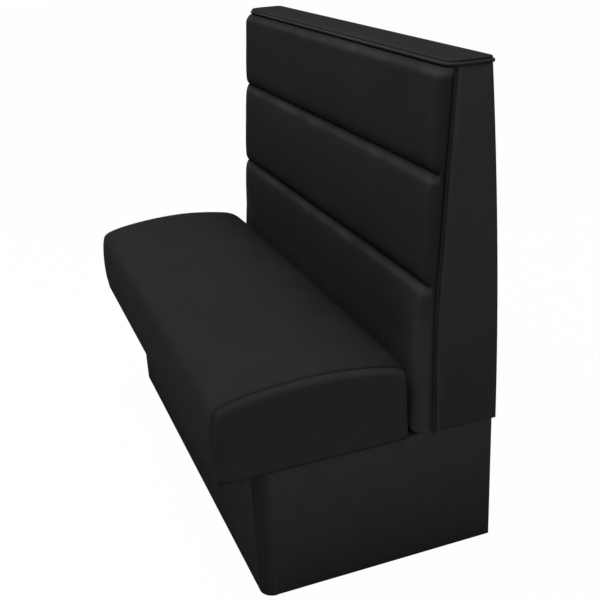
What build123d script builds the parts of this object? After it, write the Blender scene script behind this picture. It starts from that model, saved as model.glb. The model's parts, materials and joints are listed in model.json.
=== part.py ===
from build123d import *
import os
from math import cos, radians, sin, sqrt, tan

# A single restaurant booth bench: an upholstered seat that lifts off a plinth,
# and an upholstered, reclined back bolted to the plinth behind it.
# Millimetres. +Z is up, the sitter faces -Y, and +X is the end on the sitter's left.
# The origin is on the floor, in the middle of the footprint.

# Driving dimensions
booth_length = 1168
booth_height = 1067
booth_depth = 624
base_height = 305
toe_recess = 84
base_end_inset = 12
base_rear_inset = 3
seat_thickness = 203
back_foot_depth = 147
cap_height = 14

# Clearances
rest_gap = 0.3
soft_gap = 0.3
bolt_clearance = 0.3
thread_clearance = 0.3
cleat_clearance = 2

# Flat sides that stand for the round of small hidden hardware
hardware_sides = 12
foot_sides = 16

# Plinth boards
board = 18
corner_radius = 30
board_edge_chamfer = 0.8
rib_spacing = 380
bearer_width = 28
bearer_height = 45
glue_post_width = 30
tie_block_width = 40
tie_block_depth = 60
tie_block_height = 40

# Levelling feet in the plinth's corners
leveller_block_width = 60
leveller_block_height = 40
leveller_block_lift = 22
leveller_lift = 1
leveller_stem_radius = 5
leveller_stem_length = 52
leveller_collar_radius = 8
leveller_collar_height = 5
leveller_pad_radius = 16
leveller_pad_height = 8
leveller_socket_depth = 4
leveller_pad_edge = 1.5
socket_clearance = 0.1
nut_flange_radius = 12
nut_flange_height = 1.5
nut_barrel_radius = 7
nut_barrel_height = 10

# The back's side outline: upright at the foot, bent, then reclined
bend_start_height = 125
bend_length = 190
recline_angle = 4.6
rear_lean = 28.5

# The back's boards and rails
back_board_thickness = 12
outside_board_thickness = 6
outside_cover_thickness = 3
end_cover_thickness = 4
end_cover_edge = 1.25
back_rail_height = 70
mid_rail_lift = 345

# Bolts that hold the back down on the plinth
bolt_radius = 4
bolt_head_radius = 6.5
bolt_head_height = 5.5
bolt_end_length = 3
washer_radius = 11
washer_thickness = 1.6
nut_height = 6.5

# The back's channelled pad
pad_crown = 31
pad_foot_crown = 48
pad_groove = 18
pad_cover_thickness = 3
pad_foot_radius = 18
groove_roll_height = 15
groove_roll_rise = 6
pad_end_roll = 27

# Piping between the pad and each end
end_welt_radius = 4
end_welt_recess = 0.5
welt_clearance = 0.3

# The cap along the top of the back
cap_front_overhang = 14
cap_rear_overhang = 5
cap_board_thickness = 9
cap_front_radius = 28
cap_rear_radius = 14
cap_cover_thickness = 4
cap_edge_radius = 3.5
cap_welt_radius = 3.75
cap_welt_proud = 5
cap_welt_lift = 3.9

# The seat cushion
seat_to_pad_gap = 10
seat_crown = 9
seat_cover_thickness = 4
seat_edge_inset = 15
seat_rear_inset = 9
seat_end_roll = 14
seat_end_tuck = 40

# The seat's frame, springs and cleats
dust_cover_thickness = 1
seat_rail_height = 66
seat_rail_width = 28
seat_end_rail_width = 45
stretcher_width = 28
stretcher_height = 40
stretcher_spacing = 380
frame_block_leg = 55
spring_count = 7
spring_width = 50
spring_pitch = 33
spring_wire = 3.8
spring_corner = 7
spring_end_inset = 14
clip_gauge = 1.2
clip_width = 22
clip_length = 16
clip_gap = 0.15
deck_cloth_thickness = 2
deck_cloth_inset = 1
cleat_width = 30
cleat_height = 30
cleat_screw_radius = 2.5
cleat_screw_head_radius = 5
cleat_screw_head_height = 3
cleat_screw_length = 55
cleat_screw_rows = 3

# Places worked out from the driving dimensions
front_y = -booth_depth / 2
rear_y = booth_depth / 2
end_x = booth_length / 2
back_top = booth_height - cap_height
seam_foot_y = rear_y - back_foot_depth
bend_start = base_height + bend_start_height
bend_end = bend_start + bend_length
bend_radius = bend_length / sin(radians(recline_angle))
rear_rise = back_top - base_height
rear_radius = (rear_rise**2 + rear_lean**2) / (2 * rear_lean)
outside_layers = outside_board_thickness + outside_cover_thickness

base_end_x = end_x - base_end_inset
base_inner_x = base_end_x - board
base_front_y = front_y + toe_recess
base_rear_y = rear_y - base_rear_inset
kick_inner_y = base_front_y + board
rear_board_inner_y = base_rear_y - board
rib_x = rib_spacing / 2

back_end_x = end_x - end_cover_thickness
back_inner_x = back_end_x - board
sill_top = base_height + board
pad_front_y = seam_foot_y - pad_foot_crown
seat_rear_y = pad_front_y - seat_to_pad_gap
seat_bottom = base_height + rest_gap
seat_height = base_height + seat_thickness
seat_seam_top = seat_height - seat_crown
frame_front_y = front_y + seat_edge_inset
frame_rear_y = seat_rear_y - seat_rear_inset
frame_end_x = end_x - seat_end_roll
rail_bottom = seat_bottom + dust_cover_thickness
rail_top = rail_bottom + seat_rail_height
clip_height = spring_wire + 2 * clip_gap + 2 * clip_gauge
deck_bottom = rail_top + clip_height
deck_top = deck_bottom + deck_cloth_thickness
bearer_rear_y = frame_rear_y + cleat_clearance

os.makedirs("parts", exist_ok=True)


def finish(piece, label):
    """Name a finished piece and write it to its own file."""
    piece.part.label = label
    export_step(piece.part, f"parts/{label}.step")


def seam_y(height):
    """The line where the pad meets the back's frame, at a height above the floor."""
    climb = height - bend_start
    if climb <= 0:
        return seam_foot_y
    if climb < bend_length:
        return seam_foot_y + bend_radius - sqrt(bend_radius**2 - climb**2)
    bend_rise = bend_radius * (1 - cos(radians(recline_angle)))
    return seam_foot_y + bend_rise + (height - bend_end) * tan(radians(recline_angle))


def outside_y(height):
    """The bowed rear face of the back, at a height above the floor."""
    climb = height - base_height
    return rear_y - rear_radius + sqrt(rear_radius**2 - climb**2)


def block(x_span, y_span, z_span, edge=0):
    """A straight board or block between three pairs of limits."""
    x_middle = (x_span[0] + x_span[1]) / 2
    y_middle = (y_span[0] + y_span[1]) / 2
    with BuildPart() as piece:
        with BuildSketch(Plane.XY.offset(z_span[0])):
            with Locations((x_middle, y_middle)):
                Rectangle(x_span[1] - x_span[0], y_span[1] - y_span[0])
        extrude(amount=z_span[1] - z_span[0])
        if edge:
            chamfer(piece.edges(), edge)
    return piece


def side_sketch(x, front_inset, rear_inset, low, high):
    """The back's side outline between two heights, drawn in from the seam and the rear face."""
    middle = (low + high) / 2
    with BuildSketch(Plane.YZ.offset(x)) as outline:
        with BuildLine():
            foot = Line((seam_foot_y + front_inset, low), (seam_foot_y + front_inset, bend_start))
            bend = TangentArc(foot @ 1, (seam_y(bend_end) + front_inset, bend_end), tangent=(0, 1))
            rake = Line(bend @ 1, (seam_y(high) + front_inset, high))
            top = Line(rake @ 1, (outside_y(high) - rear_inset, high))
            rear = ThreePointArc(
                top @ 1,
                (outside_y(middle) - rear_inset, middle),
                (outside_y(low) - rear_inset, low),
            )
            Line(rear @ 1, foot @ 0)
        make_face()
    return outline.sketch


def seam_band_sketch(x, near, far, low, high):
    """A band behind the seam line, from one depth to another, for a board bent to the recline."""
    with BuildSketch(Plane.YZ.offset(x)) as outline:
        with BuildLine():
            foot = Line((seam_foot_y + near, low), (seam_foot_y + near, bend_start))
            bend = TangentArc(foot @ 1, (seam_y(bend_end) + near, bend_end), tangent=(0, 1))
            rake = Line(bend @ 1, (seam_y(high) + near, high))
            top = Line(rake @ 1, (seam_y(high) + far, high))
            rake_back = Line(top @ 1, (seam_y(bend_end) + far, bend_end))
            bend_back = TangentArc(
                (seam_foot_y + far, bend_start), rake_back @ 1, tangent=(0, 1)
            )
            foot_back = Line(bend_back @ 0, (seam_foot_y + far, low))
            Line(foot_back @ 1, foot @ 0)
        make_face()
    return outline.sketch


def rear_band_sketch(x, near, far, low, high):
    """A band inside the bowed rear face, for the outside board and its cover."""
    middle = (low + high) / 2
    with BuildSketch(Plane.YZ.offset(x)) as outline:
        with BuildLine():
            outer = ThreePointArc(
                (outside_y(low) - near, low),
                (outside_y(middle) - near, middle),
                (outside_y(high) - near, high),
            )
            top = Line(outer @ 1, (outside_y(high) - far, high))
            inner = ThreePointArc(
                top @ 1, (outside_y(middle) - far, middle), (outside_y(low) - far, low)
            )
            Line(inner @ 1, outer @ 0)
        make_face()
    return outline.sketch


# Plinth: kick panel, ends, rounded corner posts, rear board
kick_end_x = base_end_x - corner_radius
end_front_y = base_front_y + corner_radius
kick_panel = block(
    (-kick_end_x, kick_end_x), (base_front_y, kick_inner_y), (0, base_height), board_edge_chamfer
)
finish(kick_panel, "kick_panel")

rear_board = block(
    (-base_inner_x, base_inner_x), (rear_board_inner_y, base_rear_y), (0, base_height)
)
finish(rear_board, "base_rear_board")

for side, hand in ((-1, "left"), (1, "right")):
    x_span = sorted((side * base_inner_x, side * base_end_x))
    end_board = block(x_span, (end_front_y, base_rear_y), (0, base_height), board_edge_chamfer)
    finish(end_board, f"base_end_{hand}")

    with BuildPart() as corner_post:
        with BuildSketch() as post_plan:
            with Locations((side * (base_end_x - corner_radius / 2), end_front_y - corner_radius / 2)):
                Rectangle(corner_radius, corner_radius)
            outer_corner = post_plan.vertices().sort_by(Axis.Y)[:2].sort_by(Axis.X)
            fillet(outer_corner[-1 if side > 0 else 0], corner_radius - board_edge_chamfer)
        extrude(amount=base_height)
    finish(corner_post, f"base_corner_{hand}")

    rib = block(
        (side * rib_x - board / 2, side * rib_x + board / 2),
        (kick_inner_y, rear_board_inner_y),
        (0, base_height),
    )
    finish(rib, f"base_rib_{hand}")

# Bearer under the seat's rear rail, in three lengths between the ribs
with BuildPart() as bearer_rails:
    with BuildSketch(Plane.XY.offset(base_height - bearer_height)):
        with Locations((0, bearer_rear_y - bearer_width / 2)):
            Rectangle(2 * base_inner_x, bearer_width)
            with Locations((-rib_x, 0), (rib_x, 0)):
                Rectangle(board, bearer_width, mode=Mode.SUBTRACT)
    extrude(amount=bearer_height)
finish(bearer_rails, "bearer_rails")

# Glue posts in the plinth's rear corners
leveller_block_top = leveller_block_lift + leveller_block_height
with BuildPart() as glue_posts:
    with BuildSketch(Plane.XY.offset(leveller_block_top)):
        post_x = base_inner_x - glue_post_width / 2
        with Locations(
            (-post_x, rear_board_inner_y - glue_post_width / 2),
            (post_x, rear_board_inner_y - glue_post_width / 2),
        ):
            Rectangle(glue_post_width, glue_post_width)
    extrude(amount=base_height - leveller_block_top)
finish(glue_posts, "rear_glue_posts")

# Blocks that take the back's bolts, glued beside the ribs and the ends
tie_y = rear_board_inner_y - glue_post_width - tie_block_depth / 2 - cleat_clearance
tie_outer_x = base_inner_x - tie_block_width / 2
tie_inner_x = rib_x + board / 2 + tie_block_width / 2
tie_places = [(x, tie_y) for x in (-tie_outer_x, -tie_inner_x, tie_inner_x, tie_outer_x)]
tie_bottom = base_height - tie_block_height
bolt_hole_radius = bolt_radius + bolt_clearance
with BuildPart() as tie_blocks:
    with BuildSketch(Plane.XY.offset(tie_bottom)):
        with Locations(*tie_places):
            Rectangle(tie_block_width, tie_block_depth)
            RegularPolygon(bolt_hole_radius, hardware_sides, mode=Mode.SUBTRACT)
    extrude(amount=tie_block_height)
finish(tie_blocks, "tie_blocks")

# Levelling feet: block, tee nut, stem and pad in each corner
leveller_x = base_inner_x - leveller_block_width / 2
leveller_front_y = end_front_y + leveller_block_width / 2
leveller_rear_y = rear_board_inner_y - leveller_block_width / 2
leveller_places = {
    "front_left": (-leveller_x, leveller_front_y),
    "front_right": (leveller_x, leveller_front_y),
    "rear_left": (-leveller_x, leveller_rear_y),
    "rear_right": (leveller_x, leveller_rear_y),
}
stem_hole_radius = leveller_stem_radius + thread_clearance
with BuildPart() as leveller_blocks:
    with BuildSketch(Plane.XY.offset(leveller_block_lift)):
        with Locations(*leveller_places.values()):
            Rectangle(leveller_block_width, leveller_block_width)
            RegularPolygon(
                nut_barrel_radius + socket_clearance, hardware_sides, mode=Mode.SUBTRACT
            )
    extrude(amount=leveller_block_height)
finish(leveller_blocks, "leveller_blocks")

with BuildPart() as leveller_nuts:
    with BuildSketch(Plane.XY.offset(leveller_block_lift - nut_flange_height)):
        with Locations(*leveller_places.values()):
            RegularPolygon(nut_flange_radius, hardware_sides)
            RegularPolygon(stem_hole_radius, hardware_sides, mode=Mode.SUBTRACT)
    extrude(amount=nut_flange_height)
    with BuildSketch(Plane.XY.offset(leveller_block_lift)):
        with Locations(*leveller_places.values()):
            RegularPolygon(nut_barrel_radius, hardware_sides)
            RegularPolygon(stem_hole_radius, hardware_sides, mode=Mode.SUBTRACT)
    extrude(amount=nut_barrel_height)
finish(leveller_nuts, "leveller_nuts")

pad_top = leveller_lift + leveller_pad_height
socket_bottom = pad_top - leveller_socket_depth
for corner, (foot_x, foot_y) in leveller_places.items():
    with BuildPart() as stem:
        with BuildSketch(Plane.XY.offset(socket_bottom)):
            with Locations((foot_x, foot_y)):
                RegularPolygon(leveller_stem_radius, hardware_sides)
        extrude(amount=leveller_stem_length)
        with BuildSketch(Plane.XY.offset(pad_top)):
            with Locations((foot_x, foot_y)):
                RegularPolygon(leveller_collar_radius, 6)
        extrude(amount=leveller_collar_height)
    finish(stem, f"leveller_stem_{corner}")

    with BuildPart() as foot_pad:
        with BuildSketch(Plane.XY.offset(leveller_lift)):
            with Locations((foot_x, foot_y)):
                RegularPolygon(leveller_pad_radius, foot_sides)
        extrude(amount=leveller_pad_height)
        chamfer(foot_pad.edges().group_by(Axis.Z)[-1], leveller_pad_edge)
        with BuildSketch(Plane.XY.offset(socket_bottom)):
            with Locations((foot_x, foot_y)):
                RegularPolygon(leveller_stem_radius + socket_clearance, hardware_sides)
        extrude(amount=leveller_socket_depth, mode=Mode.SUBTRACT)
    finish(foot_pad, f"leveller_pad_{corner}")

# Piping along each end seam, in a rebate that the end panel, its cover and the pad leave
welt_x = end_x - end_welt_recess - end_welt_radius
welt_room = end_welt_radius + welt_clearance
welt_room_x = welt_x - welt_room
recline = radians(recline_angle)
for side, hand in ((-1, "left"), (1, "right")):
    with BuildPart() as piping:
        with BuildSketch(Plane.XY.offset(base_height)):
            with Locations((side * welt_x, seam_foot_y)):
                Circle(end_welt_radius)
        extrude(amount=bend_start_height)
        with BuildSketch(Plane.XY.offset(bend_start)):
            with Locations((side * welt_x, seam_foot_y)):
                Circle(end_welt_radius)
        bend_axis = Axis((0, seam_foot_y + bend_radius, bend_start), (-1, 0, 0))
        revolve(axis=bend_axis, revolution_arc=recline_angle)
        rake_plane = Plane(
            origin=(side * welt_x, seam_y(bend_end), bend_end),
            x_dir=(1, 0, 0),
            z_dir=(0, sin(recline), cos(recline)),
        )
        with BuildSketch(rake_plane):
            Circle(end_welt_radius)
        extrude(amount=(back_top - bend_end) / cos(recline) + end_welt_radius)
        with BuildSketch(Plane.XY.offset(back_top)):
            with Locations((side * welt_x, seam_y(back_top))):
                Rectangle(board, board)
        extrude(amount=board, mode=Mode.SUBTRACT)
    finish(piping, f"end_welt_{hand}")

# The back's frame: ends, studs, sill, rails and the two boards
for side, hand in ((-1, "left"), (1, "right")):
    with BuildPart() as end_panel:
        extrude(
            side_sketch(side * back_inner_x, 0, outside_layers, base_height, back_top),
            amount=side * board,
        )
        extrude(
            seam_band_sketch(side * welt_room_x, -welt_room, welt_room, base_height, back_top),
            amount=side * board,
            mode=Mode.SUBTRACT,
        )
    finish(end_panel, f"back_end_{hand}")

    with BuildPart() as end_cover:
        extrude(
            side_sketch(side * back_end_x, welt_room, 0, base_height, back_top),
            amount=side * end_cover_thickness,
        )
        outer_face = end_cover.faces().sort_by(Axis.X)[-1 if side > 0 else 0]
        chamfer(outer_face.edges(), end_cover_edge)
    finish(end_cover, f"end_cover_{hand}")

    with BuildPart() as stud:
        extrude(
            side_sketch(
                side * rib_x - board / 2, back_board_thickness, outside_layers, sill_top, back_top
            ),
            amount=board,
        )
    finish(stud, f"back_stud_{hand}")

sill_front_y = seam_foot_y + back_board_thickness
sill_rear_y = outside_y(sill_top) - outside_layers
with BuildPart() as back_sill:
    with BuildSketch(Plane.XY.offset(base_height)):
        with Locations((0, (sill_front_y + sill_rear_y) / 2)):
            Rectangle(2 * back_inner_x, sill_rear_y - sill_front_y)
        with Locations(*tie_places):
            RegularPolygon(bolt_hole_radius, hardware_sides, mode=Mode.SUBTRACT)
    extrude(amount=board)
finish(back_sill, "back_sill")

for rail_low, label in (
    (base_height + mid_rail_lift, "back_mid_rail"),
    (back_top - back_rail_height, "back_top_rail"),
):
    rail_high = rail_low + back_rail_height
    with BuildPart() as back_rail:
        with BuildSketch(Plane.YZ.offset(-back_inner_x)):
            with BuildLine():
                Polyline(
                    (seam_y(rail_low) + back_board_thickness, rail_low),
                    (seam_y(rail_high) + back_board_thickness, rail_high),
                    (outside_y(rail_high) - outside_layers, rail_high),
                    (outside_y(rail_low) - outside_layers, rail_low),
                    close=True,
                )
            make_face()
        extrude(amount=2 * back_inner_x)
        for side in (-1, 1):
            extrude(
                side_sketch(
                    side * rib_x - board / 2, 0, 0, sill_top, back_top + board
                ),
                amount=board,
                mode=Mode.SUBTRACT,
            )
    finish(back_rail, label)

with BuildPart() as back_board:
    extrude(
        seam_band_sketch(-back_inner_x, 0, back_board_thickness, base_height, back_top),
        amount=2 * back_inner_x,
    )
finish(back_board, "back_board")

with BuildPart() as outside_board:
    extrude(
        rear_band_sketch(
            -back_end_x, outside_cover_thickness, outside_layers, base_height, back_top
        ),
        amount=2 * back_end_x,
    )
finish(outside_board, "outside_back_board")

with BuildPart() as outside_cover:
    extrude(
        rear_band_sketch(-back_end_x, 0, outside_cover_thickness, base_height, back_top),
        amount=2 * back_end_x,
    )
finish(outside_cover, "outside_back_cover")

# Bolts, washers and nuts through the sill and the tie blocks
bolt_top = sill_top + washer_thickness
bolt_bottom = tie_bottom - washer_thickness - nut_height - bolt_end_length
with BuildPart() as back_bolts:
    with BuildSketch(Plane.XY.offset(bolt_bottom)):
        with Locations(*tie_places):
            RegularPolygon(bolt_radius, hardware_sides)
    extrude(amount=bolt_top - bolt_bottom)
    with BuildSketch(Plane.XY.offset(bolt_top)):
        with Locations(*tie_places):
            RegularPolygon(bolt_head_radius, 6)
    extrude(amount=bolt_head_height)
finish(back_bolts, "back_bolts")

with BuildPart() as bolt_washers:
    for washer_low in (sill_top, tie_bottom - washer_thickness):
        with BuildSketch(Plane.XY.offset(washer_low)):
            with Locations(*tie_places):
                RegularPolygon(washer_radius, hardware_sides)
                RegularPolygon(bolt_hole_radius, hardware_sides, mode=Mode.SUBTRACT)
        extrude(amount=washer_thickness)
finish(bolt_washers, "bolt_washers")

with BuildPart() as back_nuts:
    with BuildSketch(Plane.XY.offset(tie_bottom - washer_thickness - nut_height)):
        with Locations(*tie_places):
            RegularPolygon(bolt_head_radius, 6)
            RegularPolygon(bolt_hole_radius, hardware_sides, mode=Mode.SUBTRACT)
    extrude(amount=nut_height)
finish(back_nuts, "back_nuts")

# The back's pad: three channels, rolled at the top, the foot and both ends.
# Each slice across the booth has a share of the end roll as its distance in from the
# end, a share of the full swell, and a share of the end roll by which its top and foot
# are drawn in. Layers under the cover follow every second slice.
pad_slice_shares = (
    (0.0, 0.42, 0.34),
    (0.09, 0.62, 0.2),
    (0.3, 0.82, 0.08),
    (0.6, 0.955, 0.02),
    (1.0, 1.0, 0.0),
)
inner_pad_slice_shares = pad_slice_shares[::2]
upper_groove_share = 0.738
lower_groove_share = 0.44
upper_groove = base_height + rear_rise * upper_groove_share
lower_groove = base_height + rear_rise * lower_groove_share
roll_bow_share = 0.24
top_roll_share = 0.75


def pad_spot(proud, height):
    """A point that stands proud of the seam line at a height above the floor."""
    return (seam_y(height) - proud, height)


def pad_front(swell, draw_in, skin):
    """The front of one slice, as three channels of (start, middle, end); a line has no middle."""
    foot_z = base_height + soft_gap + skin + draw_in
    top_z = back_top - soft_gap - skin - draw_in
    crown = pad_crown * swell - skin
    groove = pad_groove * swell - skin
    foot_crown = pad_foot_crown * swell - skin
    foot_roll = pad_foot_radius * swell - skin
    roll_rise = groove_roll_rise * swell
    roll_bow = roll_rise * roll_bow_share
    shoulder = groove + roll_rise
    knee = (foot_crown + 2 * crown) / 3
    brow = crown - roll_rise / 2
    top_roll = (brow - welt_room) * top_roll_share
    foot_turn = foot_roll * sin(radians(45))
    top_turn = top_roll * sin(radians(45))
    foot_front = foot_z + foot_roll
    top_front = top_z - top_roll

    def roll_in(groove_z):
        low = groove_z - groove_roll_height
        middle = pad_spot((shoulder + groove) / 2 + roll_bow, (low + groove_z) / 2)
        return (pad_spot(shoulder, low), middle, pad_spot(groove, groove_z))

    def roll_out(groove_z):
        high = groove_z + groove_roll_height
        middle = pad_spot((shoulder + groove) / 2 + roll_bow, (high + groove_z) / 2)
        return (pad_spot(groove, groove_z), middle, pad_spot(shoulder, high))

    lower_start = roll_in(lower_groove)[0]
    upper_start = roll_in(upper_groove)[0]
    lumbar = (knee + shoulder) / 2 + roll_bow
    bottom = [
        (
            pad_spot(foot_crown - foot_roll, foot_z),
            pad_spot(foot_crown - foot_roll + foot_turn, foot_front - foot_turn),
            pad_spot(foot_crown, foot_front),
        ),
        (pad_spot(foot_crown, foot_front), None, pad_spot(knee, bend_start)),
        (
            pad_spot(knee, bend_start),
            pad_spot(lumbar, (bend_start + lower_groove - groove_roll_height) / 2),
            lower_start,
        ),
        roll_in(lower_groove),
    ]
    middle = [
        roll_out(lower_groove),
        (
            roll_out(lower_groove)[2],
            pad_spot(crown, (lower_groove + upper_groove) / 2),
            upper_start,
        ),
        roll_in(upper_groove),
    ]
    top = [
        roll_out(upper_groove),
        (
            roll_out(upper_groove)[2],
            pad_spot(crown, (upper_groove + groove_roll_height + top_front) / 2),
            pad_spot(brow, top_front),
        ),
        (
            pad_spot(brow, top_front),
            pad_spot(brow - top_roll + top_turn, top_front + top_turn),
            pad_spot(brow - top_roll, top_z),
        ),
    ]
    return bottom, middle, top


def pad_slice(x, channels, rear):
    """One slice of the pad's channels, closed down a rear line that stands proud of the seam."""
    edges = [edge for channel in channels for edge in channel]
    low = edges[0][0][1]
    high = edges[-1][2][1]
    with BuildSketch(Plane.YZ.offset(x)) as outline:
        with BuildLine():
            for start, middle, finish_spot in edges:
                if middle:
                    ThreePointArc(start, middle, finish_spot)
                else:
                    Line(start, finish_spot)
            Line(edges[-1][2], pad_spot(rear, high))
            if high > bend_end:
                Line(pad_spot(rear, high), pad_spot(rear, max(low, bend_end)))
            curve_high = min(high, bend_end)
            curve_low = max(low, bend_start)
            if curve_high > curve_low:
                ThreePointArc(
                    pad_spot(rear, curve_high),
                    pad_spot(rear, (curve_high + curve_low) / 2),
                    pad_spot(rear, curve_low),
                )
            if low < bend_start:
                Line(pad_spot(rear, min(high, bend_start)), pad_spot(rear, low))
            Line(pad_spot(rear, low), edges[0][0])
        make_face()
    return outline.sketch


def pad_slices(skin, first, last, rear):
    """Slices from one end of the pad to the other, of the channels from first to last."""
    near_end = []
    for depth_share, swell, draw_share in inner_pad_slice_shares if skin else pad_slice_shares:
        face_x = end_x - pad_end_roll * depth_share
        channels = pad_front(swell, pad_end_roll * draw_share, skin)[first:last]
        near_end.append((face_x - skin, channels, welt_room if face_x > welt_room_x else rear))
    far_end = [(-x, channels, depth) for x, channels, depth in reversed(near_end)]
    return [pad_slice(x, channels, depth) for x, channels, depth in near_end + far_end]


# The cover is open at the back, so its hollow runs past its rear face.
with BuildPart() as pad_cover:
    loft(pad_slices(0, 0, 3, soft_gap), ruled=True)
    loft(pad_slices(pad_cover_thickness, 0, 3, -pad_cover_thickness), ruled=True, mode=Mode.SUBTRACT)
finish(pad_cover, "back_pad_cover")

for channel, label in enumerate(("back_foam_bottom", "back_foam_middle", "back_foam_top")):
    with BuildPart() as channel_foam:
        loft(pad_slices(pad_cover_thickness, channel, channel + 1, soft_gap), ruled=True)
    finish(channel_foam, label)

# The cap: a board, its padded cover and the piping round its lower edge
cap_front_y = seam_y(back_top) - cap_front_overhang
cap_rear_y = outside_y(back_top) + cap_rear_overhang
cap_depth = cap_rear_y - cap_front_y
cap_middle_y = (cap_front_y + cap_rear_y) / 2
welt_round_share = 0.98


def cap_sketch(height, inset):
    """The cap's plan outline, drawn in by an inset."""
    with BuildSketch(Plane.XY.offset(height)) as outline:
        with Locations((0, cap_middle_y)):
            Rectangle(booth_length - 2 * inset, cap_depth - 2 * inset)
        corners = outline.vertices().group_by(Axis.Y)
        fillet(corners[0], cap_front_radius - inset)
        fillet(corners[-1], cap_rear_radius - inset)
    return outline.sketch


cap_welt_inset = 2 * cap_welt_radius - cap_welt_proud
cap_welt_bottom = back_top + cap_welt_lift - cap_welt_radius
with BuildPart() as cap_welt:
    extrude(cap_sketch(cap_welt_bottom, -cap_welt_proud), amount=2 * cap_welt_radius)
    welt_rims = cap_welt.edges().group_by(Axis.Z)
    fillet(welt_rims[0] + welt_rims[-1], cap_welt_radius * welt_round_share)
    extrude(
        cap_sketch(cap_welt_bottom, cap_welt_inset), amount=2 * cap_welt_radius, mode=Mode.SUBTRACT
    )
finish(cap_welt, "cap_welt")

with BuildPart() as cap_board:
    extrude(cap_sketch(back_top, cap_cover_thickness), amount=cap_board_thickness)
finish(cap_board, "cap_board")

with BuildPart() as cap_cover:
    extrude(cap_sketch(back_top, 0), amount=cap_height)
    fillet(cap_cover.edges().group_by(Axis.Z)[-1], cap_edge_radius)
    add(cap_board.part, mode=Mode.SUBTRACT)
    add(cap_welt.part, mode=Mode.SUBTRACT)
finish(cap_cover, "cap_cover")

# The seat cushion, sliced across the booth like the pad. Its side outline is a
# table of shares of the slice's depth and height, from the front foot round to the rear.
seat_outline_shares = {
    "front_foot": (0.017, 0.0),
    "front_bulge": (0.0, 0.42),
    "front_brow": (0.014, 0.76),
    "front_roll": (0.031, 0.845),
    "crown_front": (0.07, 0.893),
    "crown_rise": (0.29, 0.975),
    "crown_peak": (0.53, 1.0),
    "crown_fall": (0.75, 0.966),
    "crown_rear": (0.925, 0.878),
    "rear_roll": (0.978, 0.81),
    "rear_brow": (1.0, 0.7),
    "rear_foot": (1.0, 0.0),
}
# Distance in from the end face, share of the crown, draw-in share of the end roll,
# and share of the tuck by which the slice's foot is lifted.
seat_slice_shares = (
    (0.0, 0.0, 1.0, 1.0),
    (0.22, 0.0, 0.42, 0.35),
    (0.5, 0.0, 0.0, 0.0),
    (1.9, 0.32, 0.0, 0.0),
    (5.5, 0.62, 0.0, 0.0),
    (14.0, 0.92, 0.0, 0.0),
    (28.0, 1.0, 0.0, 0.0),
)
inner_seat_slice_shares = seat_slice_shares[::2]


def seat_slice(x, crown, draw_in, lift, skin):
    """One slice of the cushion, or of the foam that lies a skin's thickness inside it."""
    low_y = front_y + skin + draw_in
    high_y = seat_rear_y - skin - draw_in
    low_z = seat_bottom + lift
    high_z = seat_seam_top + crown - skin - draw_in
    spots = {
        name: (low_y + (high_y - low_y) * across, low_z + (high_z - low_z) * up)
        for name, (across, up) in seat_outline_shares.items()
    }
    with BuildSketch(Plane.YZ.offset(x)) as outline:
        with BuildLine():
            ThreePointArc(spots["front_foot"], spots["front_bulge"], spots["front_brow"])
            ThreePointArc(spots["front_brow"], spots["front_roll"], spots["crown_front"])
            ThreePointArc(spots["crown_front"], spots["crown_rise"], spots["crown_peak"])
            ThreePointArc(spots["crown_peak"], spots["crown_fall"], spots["crown_rear"])
            ThreePointArc(spots["crown_rear"], spots["rear_roll"], spots["rear_brow"])
            Line(spots["rear_brow"], spots["rear_foot"])
            Line(spots["rear_foot"], spots["front_foot"])
        make_face()
    return outline.sketch


def seat_slices(skin):
    """Slices from one end of the cushion to the other."""
    slice_shares = inner_seat_slice_shares if skin else seat_slice_shares
    near_end = [
        (
            end_x - skin - seat_end_roll * depth_share,
            seat_crown * crown_share,
            seat_end_roll * draw_share,
            seat_end_tuck * tuck_share,
        )
        for depth_share, crown_share, draw_share, tuck_share in slice_shares
    ]
    far_end = [(-x, crown, draw_in, lift) for x, crown, draw_in, lift in reversed(near_end)]
    return [
        seat_slice(x, crown, draw_in, lift, skin) for x, crown, draw_in, lift in near_end + far_end
    ]


# Room inside the foam for the frame, the springs and the deck cloth
frame_room = block(
    (-frame_end_x, frame_end_x), (frame_front_y, frame_rear_y), (seat_bottom, deck_top)
)
with BuildPart() as seat_core:
    loft(seat_slices(seat_cover_thickness), ruled=True)

with BuildPart() as seat_foam:
    add(seat_core.part)
    add(frame_room.part, mode=Mode.SUBTRACT)
finish(seat_foam, "seat_foam")

with BuildPart() as seat_cover:
    loft(seat_slices(0), ruled=True)
    add(seat_core.part, mode=Mode.SUBTRACT)
finish(seat_cover, "seat_cover")

# The seat's frame
end_rail_x = frame_end_x - seat_end_rail_width
rail_span = (rail_bottom, rail_top)
front_rail = block(
    (-frame_end_x, frame_end_x), (frame_front_y, frame_front_y + seat_rail_width), rail_span
)
finish(front_rail, "seat_front_rail")
rear_rail = block(
    (-frame_end_x, frame_end_x), (frame_rear_y - seat_rail_width, frame_rear_y), rail_span
)
finish(rear_rail, "seat_rear_rail")

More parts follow.
